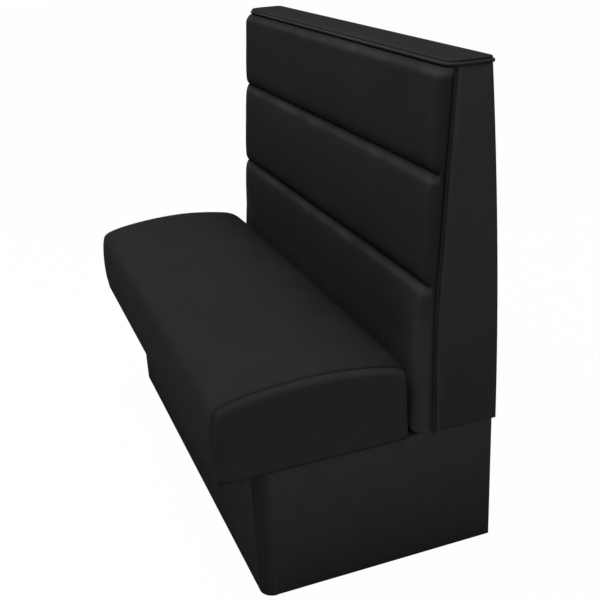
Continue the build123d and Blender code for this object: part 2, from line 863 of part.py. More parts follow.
inner_front_y = frame_front_y + seat_rail_width
inner_rear_y = frame_rear_y - seat_rail_width
cleat_front_y = end_front_y + cleat_clearance
cleat_rear_y = bearer_rear_y - bearer_width - cleat_clearance
cleat_x = base_inner_x - cleat_clearance - cleat_width / 2
screw_reach = cleat_rear_y - cleat_front_y - cleat_width
screw_places = [
    (side * cleat_x, cleat_front_y + cleat_width / 2 + screw_reach * row / (cleat_screw_rows - 1))
    for side in (-1, 1)
    for row in range(cleat_screw_rows)
]
cleat_bottom = seat_bottom - cleat_height
screw_hole_radius = cleat_screw_radius + socket_clearance
for side, hand in ((-1, "left"), (1, "right")):
    x_span = sorted((side * end_rail_x, side * frame_end_x))
    with BuildPart() as end_rail:
        with BuildSketch(Plane.XY.offset(rail_bottom)):
            with Locations(((x_span[0] + x_span[1]) / 2, (inner_front_y + inner_rear_y) / 2)):
                Rectangle(seat_end_rail_width, inner_rear_y - inner_front_y)
        extrude(amount=seat_rail_height)
        with BuildSketch(Plane.XY.offset(rail_bottom)):
            with Locations(*screw_places):
                RegularPolygon(screw_hole_radius, hardware_sides)
        extrude(amount=cleat_screw_length - cleat_height, mode=Mode.SUBTRACT)
    finish(end_rail, f"seat_end_rail_{hand}")

with BuildPart() as stretchers:
    with BuildSketch(Plane.XY.offset(rail_bottom)):
        with Locations((0, (inner_front_y + inner_rear_y) / 2)):
            with GridLocations(stretcher_spacing, 0, 2, 1):
                Rectangle(stretcher_width, inner_rear_y - inner_front_y)
    extrude(amount=stretcher_height)
finish(stretchers, "seat_stretchers")

with BuildPart() as frame_blocks:
    with BuildSketch(Plane.XY.offset(rail_bottom)):
        for side_x, corner_x in ((1, -end_rail_x), (-1, end_rail_x)):
            for side_y, corner_y in ((1, inner_front_y), (-1, inner_rear_y)):
                with BuildLine():
                    Polyline(
                        (corner_x, corner_y),
                        (corner_x + side_x * frame_block_leg, corner_y),
                        (corner_x, corner_y + side_y * frame_block_leg),
                        close=True,
                    )
                make_face()
    extrude(amount=stretcher_height)
finish(frame_blocks, "seat_corner_blocks")

# Sinuous springs: one flat zigzag wire, repeated along the seat
spring_front_y = frame_front_y + spring_end_inset
spring_rear_y = frame_rear_y - spring_end_inset
spring_runs = round((spring_rear_y - spring_front_y) / spring_pitch)
run_pitch = (spring_rear_y - spring_front_y) / spring_runs
spring_half = spring_width / 2
wire_points = []
for run in range(spring_runs + 1):
    run_y = spring_front_y + run * run_pitch
    turn = 1 if run % 2 == 0 else -1
    if run > 0:
        wire_points.append((-turn * spring_half, run_y - spring_corner))
    wire_points.append((-turn * (spring_half - spring_corner), run_y))
    wire_points.append((turn * (spring_half - spring_corner), run_y))
    if run < spring_runs:
        wire_points.append((turn * spring_half, run_y + spring_corner))

spring_gap_x = 2 * end_rail_x / spring_count
wire_bottom = rail_top + clip_gauge + clip_gap
with BuildPart() as one_spring:
    with BuildSketch(Plane.XY.offset(wire_bottom)):
        with BuildLine():
            Polyline(*wire_points)
        trace(line_width=spring_wire)
    extrude(amount=spring_wire)

with BuildPart() as spring_wires:
    with GridLocations(spring_gap_x, 0, spring_count, 1):
        add(one_spring.part)
finish(spring_wires, "seat_springs")

# Clips that hold each spring's end bars on the rails, open towards the seat's middle
clip_places = [
    (place * spring_gap_x, end_y, facing)
    for place in [count - (spring_count - 1) / 2 for count in range(spring_count)]
    for end_y, facing in ((spring_front_y, 1), (spring_rear_y, -1))
]
with BuildPart() as spring_clips:
    for clip_x, clip_y, facing in clip_places:
        with BuildSketch(Plane.YZ.offset(clip_x - clip_width / 2)):
            with Locations((clip_y, rail_top + clip_height / 2)):
                Rectangle(clip_length, clip_height)
            with Locations((clip_y + facing * clip_gauge, rail_top + clip_height / 2)):
                Rectangle(clip_length, clip_height - 2 * clip_gauge, mode=Mode.SUBTRACT)
        extrude(amount=clip_width)
finish(spring_clips, "spring_clips")

deck_cloth = block(
    (deck_cloth_inset - frame_end_x, frame_end_x - deck_cloth_inset),
    (frame_front_y + deck_cloth_inset, frame_rear_y - deck_cloth_inset),
    (deck_bottom, deck_top),
)
finish(deck_cloth, "deck_cloth")

with BuildPart() as dust_cover:
    with BuildSketch(Plane.XY.offset(seat_bottom)):
        with Locations((0, (frame_front_y + frame_rear_y) / 2)):
            Rectangle(2 * frame_end_x, frame_rear_y - frame_front_y)
        with Locations(*screw_places):
            RegularPolygon(screw_hole_radius, hardware_sides, mode=Mode.SUBTRACT)
    extrude(amount=dust_cover_thickness)
finish(dust_cover, "seat_dust_cover")

# Cleats that drop inside the plinth and keep the seat from sliding
with BuildPart() as seat_cleats:
    with BuildSketch(Plane.XY.offset(cleat_bottom)):
        with Locations(
            (-cleat_x, (cleat_front_y + cleat_rear_y) / 2),
            (cleat_x, (cleat_front_y + cleat_rear_y) / 2),
        ):
            Rectangle(cleat_width, cleat_rear_y - cleat_front_y)
        with Locations(*screw_places):
            RegularPolygon(screw_hole_radius, hardware_sides, mode=Mode.SUBTRACT)
    extrude(amount=cleat_height)
finish(seat_cleats, "seat_cleats")

with BuildPart() as cleat_screws:
    with BuildSketch(Plane.XY.offset(cleat_bottom - cleat_screw_head_height)):
        with Locations(*screw_places):
            RegularPolygon(cleat_screw_head_radius, hardware_sides)
    extrude(amount=cleat_screw_head_height)
    with BuildSketch(Plane.XY.offset(cleat_bottom)):
        with Locations(*screw_places):
            RegularPolygon(cleat_screw_radius, hardware_sides)
    extrude(amount=cleat_screw_length)
finish(cleat_screws, "cleat_screws")
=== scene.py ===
import json
from math import cos, pi, radians, sin, sqrt, tan

import bmesh
import bpy
import numpy as np
from mathutils import Matrix, Vector, noise


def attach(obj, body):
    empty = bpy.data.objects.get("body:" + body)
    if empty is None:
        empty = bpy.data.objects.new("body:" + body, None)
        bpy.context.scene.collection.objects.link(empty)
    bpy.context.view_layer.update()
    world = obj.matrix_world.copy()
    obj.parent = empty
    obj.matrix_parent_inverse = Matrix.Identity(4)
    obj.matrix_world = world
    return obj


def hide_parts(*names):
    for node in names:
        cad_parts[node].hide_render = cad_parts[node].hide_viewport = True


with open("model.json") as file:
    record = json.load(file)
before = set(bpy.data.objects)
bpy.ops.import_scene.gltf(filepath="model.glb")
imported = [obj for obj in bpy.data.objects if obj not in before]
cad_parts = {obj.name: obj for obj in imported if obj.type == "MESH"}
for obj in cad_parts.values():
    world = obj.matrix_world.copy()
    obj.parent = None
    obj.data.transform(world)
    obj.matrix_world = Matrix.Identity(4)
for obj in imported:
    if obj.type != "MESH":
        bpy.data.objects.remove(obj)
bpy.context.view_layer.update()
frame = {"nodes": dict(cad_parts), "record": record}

# A restaurant booth bench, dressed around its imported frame.
# Shapes are worked out in millimetres and turned to metres as each mesh is made.
MM = 0.001
HANDS = ((-1, "left"), (1, "right"))

# Places of the frame that the covers follow
END_X = 584.0
FRONT_Y = -312.0
SEAT_BOTTOM = 305.3
SEAT_REAR_Y = 107.0
SEAT_SEAM_TOP = 499.0
SEAT_CROWN = 9.0
DECK_TOP = 379.0
BASE_TOP = 305.0
BACK_TOP = 1053.0
CAP_TOP = 1067.0
SEAM_FOOT_Y = 165.0
BEND_START = 430.0
BEND_END = 620.0
RECLINE = radians(4.6)
BEND_RADIUS = (BEND_END - BEND_START) / sin(RECLINE)
REAR_Y = 312.0
REAR_LEAN = 28.5
REAR_RISE = BACK_TOP - BASE_TOP
REAR_RADIUS = (REAR_RISE**2 + REAR_LEAN**2) / (2 * REAR_LEAN)
GROOVES = (634.0, 857.0)

# The simulated vinyl: how hard the foam presses it, the share by which it is cut wider than
# its seams, how stiff it is, and how many frames are run
FOAM_PRESSURE = 4.0
SPARE_WIDTH = 0.002
VINYL_STIFFNESS = 4.0
CLOTH_FRAMES = 20


def seam_y(z):
    """Where the pad meets the back's frame, at a height."""
    climb = z - BEND_START
    if climb <= 0:
        return SEAM_FOOT_Y
    if z < BEND_END:
        return SEAM_FOOT_Y + BEND_RADIUS - sqrt(BEND_RADIUS**2 - climb**2)
    return SEAM_FOOT_Y + BEND_RADIUS * (1 - cos(RECLINE)) + (z - BEND_END) * tan(RECLINE)


def outside_y(z):
    """The bowed rear face of the back, at a height."""
    return REAR_Y - REAR_RADIUS + sqrt(REAR_RADIUS**2 - (z - BASE_TOP) ** 2)


def ease(value):
    """0 to 1, smooth at both ends."""
    value = min(max(value, 0.0), 1.0)
    return value * value * (3 - 2 * value)


def fade(distance, reach):
    """1 at a seam, falling off over a reach away from it."""
    return np.exp(-np.abs(distance) / reach)


def bell(distance, width):
    """1 at a line, and a rounded fall to 0 within about two widths of it."""
    return np.exp(-((distance / width) ** 2))


def wobble(x, y, z, size, seed):
    """Smooth noise between about -1 and 1, with a size in millimetres."""
    return noise.noise(Vector((x / size + seed, y / size - seed, z / size + 2.7 * seed)))


# Meshes

def add_object(name, data):
    """A new object in the scene, which holds a mesh, a lens or a lamp."""
    made = bpy.data.objects.new(name, data)
    bpy.context.scene.collection.objects.link(made)
    return made


def make_piece(name, points, faces, material, tone=None):
    """A smooth mesh object from points in millimetres. Its tone, from -1 to 1 at each point, paints
    shade into a vinyl's seams and creases, and highlights onto its rolls."""
    mesh = bpy.data.meshes.new(name)
    mesh.from_pydata([tuple(MM * float(c) for c in p) for p in points], [], faces)
    if tone is not None:
        layer = mesh.attributes.new("tone", "FLOAT", "POINT")
        layer.data.foreach_set("value", np.asarray(tone, np.float32).ravel())
    mesh.validate()
    mesh.update()
    mesh.shade_smooth()
    mesh.materials.append(material)
    return add_object(name, mesh)


def weld(piece):
    """Joins the points that lie on each other, and turns the faces outwards."""
    form = bmesh.new()
    form.from_mesh(piece.data)
    bmesh.ops.remove_doubles(form, verts=form.verts, dist=0.02 * MM)
    bmesh.ops.recalc_face_normals(form, faces=form.faces)
    form.to_mesh(piece.data)
    form.free()


def grid_faces(rows, columns, first=0, turned=False):
    """Quads over a grid of points that starts at an index."""
    faces = []
    for i in range(rows - 1):
        for j in range(columns - 1):
            a = first + i * columns + j
            quad = (a, a + 1, a + columns + 1, a + columns)
            faces.append(quad[::-1] if turned else quad)
    return faces


def join_grids(*grids):
    """One list of points and faces from several grids, each an array of rows and columns."""
    points, faces = [], []
    for grid in grids:
        rows, columns = grid.shape[:2]
        faces += grid_faces(rows, columns, len(points))
        points += list(grid.reshape(-1, 3))
    return points, faces


def slab(upper, lower):
    """Points and faces of a closed sheet between two grids of one size."""
    rows, columns = upper.shape[:2]
    size = rows * columns
    points, faces = join_grids(upper, lower)
    loop = list(range(columns))
    loop += [i * columns + columns - 1 for i in range(1, rows)]
    loop += [(rows - 1) * columns + j for j in range(columns - 2, -1, -1)]
    loop += [i * columns for i in range(rows - 2, 0, -1)]
    faces += [(a, b, size + b, size + a) for a, b in zip(loop, loop[1:] + loop[:1])]
    return points, faces


def billow(sheet, held, most):
    """How far each point of a sheet of vinyl moves when the foam behind presses it out between
    the lines it is held on: a cloth simulation, scaled so that none moves further than most."""
    rows, columns = sheet.shape[:2]
    points, _ = join_grids(sheet)
    cloth = make_piece("sheet", points, grid_faces(rows, columns, turned=True), seat_vinyl)
    group = cloth.vertex_groups.new(name="held")
    group.add([int(k) for k in np.flatnonzero(held)], 1.0, "REPLACE")
    modifier = cloth.modifiers.new("cloth", "CLOTH")
    modifier.collision_settings.use_collision = False
    settings = modifier.settings
    settings.vertex_group_mass = "held"
    settings.use_pressure = True
    settings.uniform_pressure_force = FOAM_PRESSURE
    settings.shrink_min = -SPARE_WIDTH
    settings.bending_stiffness = VINYL_STIFFNESS
    settings.effector_weights.gravity = 0.0
    for step in range(1, CLOTH_FRAMES + 1):
        bpy.context.scene.frame_set(step)
    mesh = cloth.evaluated_get(bpy.context.evaluated_depsgraph_get()).to_mesh()
    spots = np.empty(rows * columns * 3)
    mesh.vertices.foreach_get("co", spots)
    bpy.data.objects.remove(cloth)
    bpy.context.scene.frame_set(1)
    moved = spots.reshape(rows, columns, 3) / MM - sheet
    furthest = float(np.linalg.norm(moved, axis=2).max())
    return moved * min(1.0, most / max(furthest, 0.001))


def between(places, knots):
    """Shares of each knot at some places, for straight lines between the knots."""
    return np.stack([np.interp(places, knots, row) for row in np.eye(len(knots))], axis=1)


def lay_over(moved, rows, row_knots, columns, column_knots):
    """The movement of an even sheet, read at the rows and columns of an uneven grid."""
    return np.einsum(
        "ai,bj,ijk->abk", between(rows, row_knots), between(columns, column_knots), moved
    )


def run_along(line):
    """How far each point of a line lies from its start, along it."""
    return np.concatenate([[0], np.cumsum(np.linalg.norm(np.diff(line, axis=0), axis=1))])


def stitches(line, ups, pitch=6.0, length=4.2, radius=0.45):
    """Points and faces of a row of stitches along a line, each dipping in at both ends."""
    line, ups = np.array(line, float), np.array(ups, float)
    run = run_along(line)
    points, faces = [], []
    rings, sides = 5, 6
    for start in np.arange(pitch / 2, run[-1] - length, pitch):
        places = start + length * np.linspace(0, 1, rings)
        spots = np.stack([np.interp(places, run, line[:, k]) for k in range(3)], axis=1)
        up = np.array([np.interp(places[rings // 2], run, ups[:, k]) for k in range(3)])
        up /= np.linalg.norm(up)
        side = np.cross(spots[-1] - spots[0], up)
        side /= np.linalg.norm(side)
        first = len(points)
        for k, spot in enumerate(spots):
            rise = sin(pi * k / (rings - 1))
            size = radius * (0.45 + 0.55 * rise)
            for m in range(sides):
                turn = 2 * pi * m / sides
                reach = size * (cos(turn) * side + sin(turn) * up)
                points.append(spot + up * (0.5 * rise - 0.25) + reach)
        for k in range(rings - 1):
            for m in range(sides):
                n = (m + 1) % sides
                a = first + k * sides
                faces.append((a + m, a + n, a + sides + n, a + sides + m))
        faces.append(tuple(first + m for m in range(sides))[::-1])
        faces.append(tuple(first + (rings - 1) * sides + m for m in range(sides)))
    return points, faces


def smooth_line(spots, count):
    """Evenly spaced points on a smooth line through some spots."""
    spots = np.array(spots, float)
    steps = np.sqrt(np.linalg.norm(np.diff(spots, axis=0), axis=1))
    knots = np.concatenate([[0], np.cumsum(steps)])
    slopes = np.gradient(spots, knots, axis=0)
    line = []
    for t in np.linspace(0, knots[-1], 40 * len(spots)):
        i = min(int(np.searchsorted(knots, t, side="right")) - 1, len(knots) - 2)
        h = knots[i + 1] - knots[i]
        u = (t - knots[i]) / h
        line.append(
            (2 * u**3 - 3 * u**2 + 1) * spots[i]
            + (u**3 - 2 * u**2 + u) * h * slopes[i]
            + (3 * u**2 - 2 * u**3) * spots[i + 1]
            + (u**3 - u**2) * h * slopes[i + 1]
        )
    line = np.array(line)
    run = run_along(line)
    places = np.linspace(0, run[-1], count)
    return np.stack([np.interp(places, run, column) for column in line.T], axis=1)


def spread(low, high, pitch, tight, reach):
    """Places from low to high, a pitch apart, and closer together near both ends."""
    half = (high - low) / 2
    places = [0.0]
    while places[-1] < half:
        gap = tight + (pitch - tight) * ease(places[-1] / reach)
        places.append(places[-1] + gap)
    places = np.array(places) * half / places[-1]
    return np.concatenate([low + places, (high - places)[::-1][1:]])


def tube(name, line, radius, material, closed=False):
    """A round cord of piping along a line of points, with painted light on top and painted shade
    underneath.
    """
    line = np.array(line, float)
    count, sides = len(line), 12
    points, faces, tones = [], [], []
    for i in range(count):
        before = line[i - 1] if (closed or i > 0) else line[i]
        after = line[(i + 1) % count] if (closed or i < count - 1) else line[i]
        along = after - before
        along /= np.linalg.norm(along)
        side = np.cross(along, (0.0, 0.0, 1.0))
        if np.linalg.norm(side) < 0.5:
            side = np.cross(along, (1.0, 0.0, 0.0))
        side /= np.linalg.norm(side)
        up = np.cross(side, along)
        for k in range(sides):
            turn = 2 * pi * k / sides
            reach = cos(turn) * side + sin(turn) * up
            points.append(line[i] + radius * reach)
            tones.append(0.8 * reach[2])
    for i in range(count if closed else count - 1):
        a, b = i * sides, ((i + 1) % count) * sides
        for k in range(sides):
            n = (k + 1) % sides
            faces.append((a + k, a + n, b + n, b + k))
    if not closed:
        faces.append(tuple(range(sides))[::-1])
        faces.append(tuple((count - 1) * sides + k for k in range(sides)))
    return make_piece(name, points, faces, material, tones)


# Materials

def linear(code):
    """An sRGB hex colour as linear red, green, blue and alpha."""
    parts = [int(code[i : i + 2], 16) / 255 for i in (1, 3, 5)]
    return (*[p / 12.92 if p <= 0.04045 else ((p + 0.055) / 1.055) ** 2.4 for p in parts], 1.0)


def node(tree, kind, inputs, stops=(), **settings):
    """Adds a node with its settings, and puts a value or a link on each named input. Stops of
    (place, colour) fill a colour ramp."""
    made = tree.nodes.new(kind)
    for name, value in settings.items():
        setattr(made, name, value)
    for name, value in inputs.items():
        if isinstance(value, bpy.types.NodeSocket):
            tree.links.new(value, made.inputs[name])
        else:
            made.inputs[name].default_value = value
    for index, (place, colour) in enumerate(stops):
        elements = made.color_ramp.elements
        if index == len(elements):
            elements.new(place)
        elements[index].position = place
        elements[index].color = linear(colour)
    return made


def new_material(name):
    """An empty material, its tree and its object coordinates."""
    material = bpy.data.materials.new(name)
    material.use_nodes = True
    tree = material.node_tree
    tree.nodes.clear()
    return material, tree, node(tree, "ShaderNodeTexCoord", {}).outputs["Object"]


def end_material(tree, figure, stops, relief, rough, strength, depth_mm, grain=None, **fixed):
    """Ends a material's tree. Its colour follows a figure, and its roughness and bump follow a
    relief, which lies over a finer grain if there is one. The rest is fixed on the shader."""
    colour = node(tree, "ShaderNodeValToRGB", {"Fac": figure}, stops=stops).outputs["Color"]
    roughness = node(
        tree, "ShaderNodeMapRange", {"Value": relief, "To Min": rough[0], "To Max": rough[1]}
    ).outputs["Result"]
    height = {"Height": relief, "Strength": strength, "Distance": depth_mm * MM}
    if grain is not None:
        height["Normal"] = grain
    bump = node(tree, "ShaderNodeBump", height).outputs[0]
    sockets = {name.replace("_", " "): value for name, value in fixed.items()}
    skin = node(tree, "ShaderNodeBsdfPrincipled", {
        "Base Color": colour, "Roughness": roughness, "Normal": bump, **sockets,
    })
    node(tree, "ShaderNodeOutputMaterial", {"Surface": skin.outputs[0]})


# Upholstery vinyl: a calendered PVC skin on knitted backing. It gives the eye a fine pebbled leather
# grain, and its tone paints shade into the seams and highlights onto the rolls.
# The real grain of 0.8 mm is drawn at 1.6 mm so that it shows. The skin is matt, and the
# white surroundings would wash over the faces seen edge-on, so it has no gloss at all.
def upholstery_vinyl(name, stops, rough, grain_mm=1.6):
    material, tree, place = new_material(name)
    cloud = node(
        tree, "ShaderNodeTexNoise", {"Vector": place, "Scale": 1 / (140 * MM), "Detail": 4.0}
    ).outputs["Fac"]
    pebbles = node(
        tree, "ShaderNodeTexVoronoi",
        {"Vector": place, "Scale": 1 / (grain_mm * MM), "Randomness": 0.9}, feature="SMOOTH_F1",
    ).outputs["Distance"]
    creases = node(
        tree, "ShaderNodeTexNoise", {"Vector": place, "Scale": 1 / (26 * MM), "Detail": 3.0}
    ).outputs["Fac"]
    tone = node(tree, "ShaderNodeAttribute", {}, attribute_name="tone").outputs["Fac"]
    patchy = node(
        tree, "ShaderNodeMapRange", {"Value": cloud, "To Min": 0.36, "To Max": 0.64}
    ).outputs["Result"]
    toned = node(
        tree, "ShaderNodeMath", {0: tone, 1: 0.5, 2: patchy}, operation="MULTIPLY_ADD"
    ).outputs[0]
    grain = node(
        tree, "ShaderNodeBump", {"Height": pebbles, "Strength": 0.35, "Distance": 0.25 * MM}
    ).outputs[0]
    end_material(
        tree, toned, stops, creases, rough=(rough - 0.05, rough + 0.06), strength=0.25,
        depth_mm=1.2, grain=grain, Specular_IOR_Level=0.0, IOR=1.5,
    )
    return material


# High-pressure laminate, matt black, on the plinth: a faint cloudy mottle, a fine press texture, and
# a colour that darkens towards the foot. The corner posts carry painted shade at the kick panel's
# edge, which runs into the end boards' colour round their curve. It has no gloss, for the same
# reason as the vinyl.
def matt_laminate(name, stops, post=False):
    material, tree, place = new_material(name)
    mottle = node(
        tree, "ShaderNodeTexNoise",
        {"Vector": place, "Scale": 1 / (36 * MM), "Detail": 7.0, "Roughness": 0.6},
    ).outputs["Fac"]
    pits = node(
        tree, "ShaderNodeTexNoise", {"Vector": place, "Scale": 1 / (2.4 * MM), "Detail": 2.0}
    ).outputs["Fac"]
    low, high, axis = (-216 * MM, -200 * MM, "Y") if post else (0.0, 300 * MM, "Z")
    spot = node(tree, "ShaderNodeSeparateXYZ", {"Vector": place}).outputs[axis]
    along = node(
        tree, "ShaderNodeMapRange", {"Value": spot, "From Min": low, "From Max": high}
    ).outputs["Result"]
    faint = node(
        tree, "ShaderNodeMapRange", {"Value": mottle, "To Min": 0.2, "To Max": 0.8}
    ).outputs["Result"]
    share = node(
        tree, "ShaderNodeMath", {0: along, 1: 0.5, 2: faint}, operation="MULTIPLY_ADD"
    ).outputs[0]
    end_material(
        tree, share, stops, pits, rough=(0.5, 0.66), strength=0.3, depth_mm=0.3,
        Specular_IOR_Level=0.0, IOR=1.5,
    )
    return material


# Birch plywood, sawn and left bare: pale long grain with faint darker bands, a dry surface.
# Pine boards use the same build with wider rings and a warmer colour. Along its length the
# grain is drawn out to about 17 times its width.
def bare_wood(name, stops, ring_mm, along):
    material, tree, place = new_material(name)
    stretch = [0.06 if axis == along else 1.0 for axis in "XYZ"]
    laid = node(tree, "ShaderNodeMapping", {"Vector": place, "Scale": stretch}).outputs[0]
    figure = node(
        tree, "ShaderNodeTexNoise",
        {"Vector": laid, "Scale": 1 / (ring_mm * MM), "Detail": 6.0, "Distortion": 0.6},
    ).outputs["Fac"]
    pores = node(
        tree, "ShaderNodeTexNoise", {"Vector": laid, "Scale": 1 / (1.2 * MM), "Detail": 2.0}
    ).outputs["Fac"]
    end_material(
        tree, figure, stops, pores, rough=(0.6, 0.8), strength=0.3, depth_mm=0.2,
        Specular_IOR_Level=0.3, IOR=1.5,
    )
    return material


# Open-cell polyurethane foam: cream, with round cells 2 mm across that catch shadow.
def open_foam(name, dark, pale):
    material, tree, place = new_material(name)
    cells = node(
        tree, "ShaderNodeTexVoronoi", {"Vector": place, "Scale": 1 / (2.0 * MM)}, feature="F1"
    ).outputs["Distance"]
    end_material(
        tree, cells, [(0.1, dark), (0.5, pale)], cells, rough=(0.85, 1.0), strength=0.6,
        depth_mm=0.6, Specular_IOR_Level=0.1,
    )
    return material


# Cambric, black: non-woven cloth pressed with fine crossed bars 1 mm apart, drawn about 4 mm
# apart so that they show. The bands of Blender's wave texture are about 1 / 3.14 m apart at
# scale 1. Bonded sewing thread uses the same build at 1 mm, for its twist.
def pressed_cloth(name, dark, pale, bar_mm=4.0):
    material, tree, place = new_material(name)
    across, along = [
        node(
            tree, "ShaderNodeTexWave", {"Vector": place, "Scale": 1 / (3.14 * bar_mm * MM)},
            wave_type="BANDS", bands_direction=axis,
        ).outputs["Fac"]
        for axis in "XY"
    ]
    bars = node(tree, "ShaderNodeMath", {0: across, 1: along}, operation="MULTIPLY").outputs[0]
    end_material(
        tree, bars, [(0.0, dark), (1.0, pale)], bars, rough=(0.75, 0.95), strength=0.5,
        depth_mm=0.4, Specular_IOR_Level=0.2,
    )
    return material


# Plated or drawn steel: metal with a fine spangle or drawing lines that vary the gloss.
def plated_steel(name, dark, pale, rough, spangle_mm):
    material, tree, place = new_material(name)
    spangle = node(
        tree, "ShaderNodeTexNoise", {"Vector": place, "Scale": 1 / (spangle_mm * MM), "Detail": 3.0}
    ).outputs["Fac"]
    end_material(
        tree, spangle, [(0.3, dark), (0.7, pale)], spangle, rough=(rough - 0.08, rough + 0.1),
        strength=0.15, depth_mm=0.1, Metallic=1.0,
    )
    return material


# Moulded nylon, black: a faint eggshell skin from the mould.
def moulded_nylon(name, dark, pale):
    material, tree, place = new_material(name)
    eggshell = node(
        tree, "ShaderNodeTexNoise", {"Vector": place, "Scale": 1 / (1.5 * MM), "Detail": 2.0}
    ).outputs["Fac"]
    end_material(
        tree, eggshell, [(0.3, dark), (0.7, pale)], eggshell, rough=(0.4, 0.5), strength=0.2,
        depth_mm=0.1, Specular_IOR_Level=0.4, IOR=1.53,
    )
    return material


# Each vinyl's colours: painted shade in a seam, lying slack, lying taut, and a painted highlight on
# a roll
seat_vinyl = upholstery_vinyl(
    "seat_vinyl", [(0.0, "#121212"), (0.42, "#2b2b2b"), (0.58, "#2e2e2e"), (1.0, "#404040")], 0.5
)
pad_vinyl = upholstery_vinyl(
    "pad_vinyl", [(0.0, "#111110"), (0.42, "#262523"), (0.58, "#292826"), (1.0, "#403f3d")], 0.4
)
end_vinyl = upholstery_vinyl(
    "end_vinyl", [(0.0, "#1a1a1a"), (0.4, "#313131"), (0.6, "#353535"), (1.0, "#434343")], 0.5
)
cap_vinyl = upholstery_vinyl(
    "cap_vinyl", [(0.0, "#181818"), (0.42, "#2b2b2b"), (0.58, "#2d2d2d"), (1.0, "#3c3c3c")], 0.48
)
piping_vinyl = upholstery_vinyl(
    "piping_vinyl", [(0.0, "#1a1a19"), (0.4, "#262625"), (0.6, "#2b2b2a"), (1.0, "#464645")], 0.42,
    grain_mm=1.2,
)
# The laminate's colours, from the foot up, or from the post's painted shade at its front round to
# its side
black_laminate = matt_laminate(
    "black_laminate", [(0.35, "#292929"), (0.6, "#2c2c2c"), (0.8, "#303030"), (1.0, "#343434")]
)
post_laminate = matt_laminate(
    "post_laminate", [(0.4, "#242424"), (0.6, "#262626"), (0.85, "#2b2b2b"), (1.0, "#2f2f2f")],
    post=True,
)
plywood = bare_wood(
    "birch_plywood", [(0.2, "#c9a876"), (0.55, "#d8bb8b"), (0.85, "#e0c79b")], ring_mm=9, along="Z"
)
softwood = bare_wood(
    "pine", [(0.2, "#b98a55"), (0.5, "#d3a771"), (0.85, "#dfba88")], ring_mm=14, along="X"
)
black_cloth = pressed_cloth("black_cambric", "#0f0f10", "#1c1c1e")
zinc_steel = plated_steel("zinc_plated_steel", "#9a9da0", "#b9bcbe", rough=0.35, spangle_mm=4)
spring_steel = plated_steel("oiled_spring_steel", "#5c5a57", "#77746f", rough=0.4, spangle_mm=6)
black_nylon = moulded_nylon("black_nylon", "#161616", "#1d1d1d")
foam = open_foam("polyurethane_foam", "#b8ab85", "#dccfa6")
thread = pressed_cloth("bonded_thread", "#1a1a1a", "#262626", bar_mm=1.0)

slot_materials = {
    "black_laminate": black_laminate,
    "plywood": plywood,
    "softwood": softwood,
    "black_vinyl": seat_vinyl,
    "pad_vinyl": pad_vinyl,
    "piping_vinyl": piping_vinyl,
    "foam": foam,
    "black_cloth": black_cloth,
    "zinc_steel": zinc_steel,
    "spring_steel": spring_steel,
    "black_nylon": black_nylon,
}
for part in frame["record"]["subparts"]:
    finish = slot_materials[part["material_slot"]]
    if part["node"].startswith("base_corner"):
        finish = post_laminate
    for material_slot in frame["nodes"][part["node"]].material_slots:
        material_slot.material = finish


# The camera, at the photograph's viewpoint
def make_camera():
    target = Vector((57.097, 70.482, 427.526)) * MM
    distance = 2375.925 * MM
    azimuth, elevation, roll = radians(70.494), radians(22.752), radians(-3.214)
    back = Vector((sin(azimuth) * cos(elevation), -cos(azimuth) * cos(elevation), sin(elevation)))
    right = (-back).cross(Vector((0, 0, 1))).normalized()
    up = right.cross(-back)
    turned_right = right * cos(roll) + up * sin(roll)
    turned_up = up * cos(roll) - right * sin(roll)
    lens = bpy.data.cameras.new("camera")
    lens.lens = 57.36
    lens.sensor_width = 36.0
    camera = add_object("camera", lens)
    axes = Matrix((turned_right, turned_up, back)).transposed().to_4x4()
    camera.matrix_world = Matrix.Translation(target + back * distance) @ axes
    bpy.context.scene.camera = camera


make_camera()


# The seat cushion: a crowned wrap over the front, top and rear, and a boxing panel sewn
# on at each end. Its profile runs from the front's foot over to the rear's, as shares of
# the seat's depth and of its height.
SEAT_PROFILE = [
    (0.017, 0.0), (0.004, 0.2), (0.0, 0.42), (0.004, 0.62), (0.014, 0.76), (0.031, 0.845),
    (0.07, 0.893), (0.17, 0.942), (0.29, 0.975), (0.41, 0.994), (0.53, 1.0), (0.64, 0.992),
    (0.75, 0.968), (0.85, 0.935), (0.93, 0.897), (0.983, 0.84), (1.0, 0.75), (1.0, 0.35), (1.0, 0.0),
]
SEAM_X = 577.0
FRAME_X = 570.0
FRAME_FRONT_Y = -297.0
FRAME_REAR_Y = 98.0
# The vinyl lies fast on the frame up to this height above its foot
STAPLED_HEIGHT = 30.0
# Steps away from the seam along the wrap, and shares of the way down the boxing
SEAM_STEPS = (0.0, 0.5, 1.1, 1.9, 3.0, 4.6)
BOXING_SHARES = (
    0.0, 0.0025, 0.0055, 0.0095, 0.015, 0.023, 0.034, 0.048, 0.066, 0.09, 0.12, 0.16, 0.21, 0.27,
    0.34, 0.42, 0.5, 0.58, 0.66, 0.74, 0.81, 0.87, 0.92, 0.955, 0.978, 0.991, 0.997, 1.0,
)


def inward(line):
    """The inward normal at each point of a profile that runs from the front foot to the rear."""
    along = np.gradient(line, axis=0)
    along /= np.linalg.norm(along, axis=1)[:, None]
    return np.stack([along[:, 1], -along[:, 0]], axis=1)


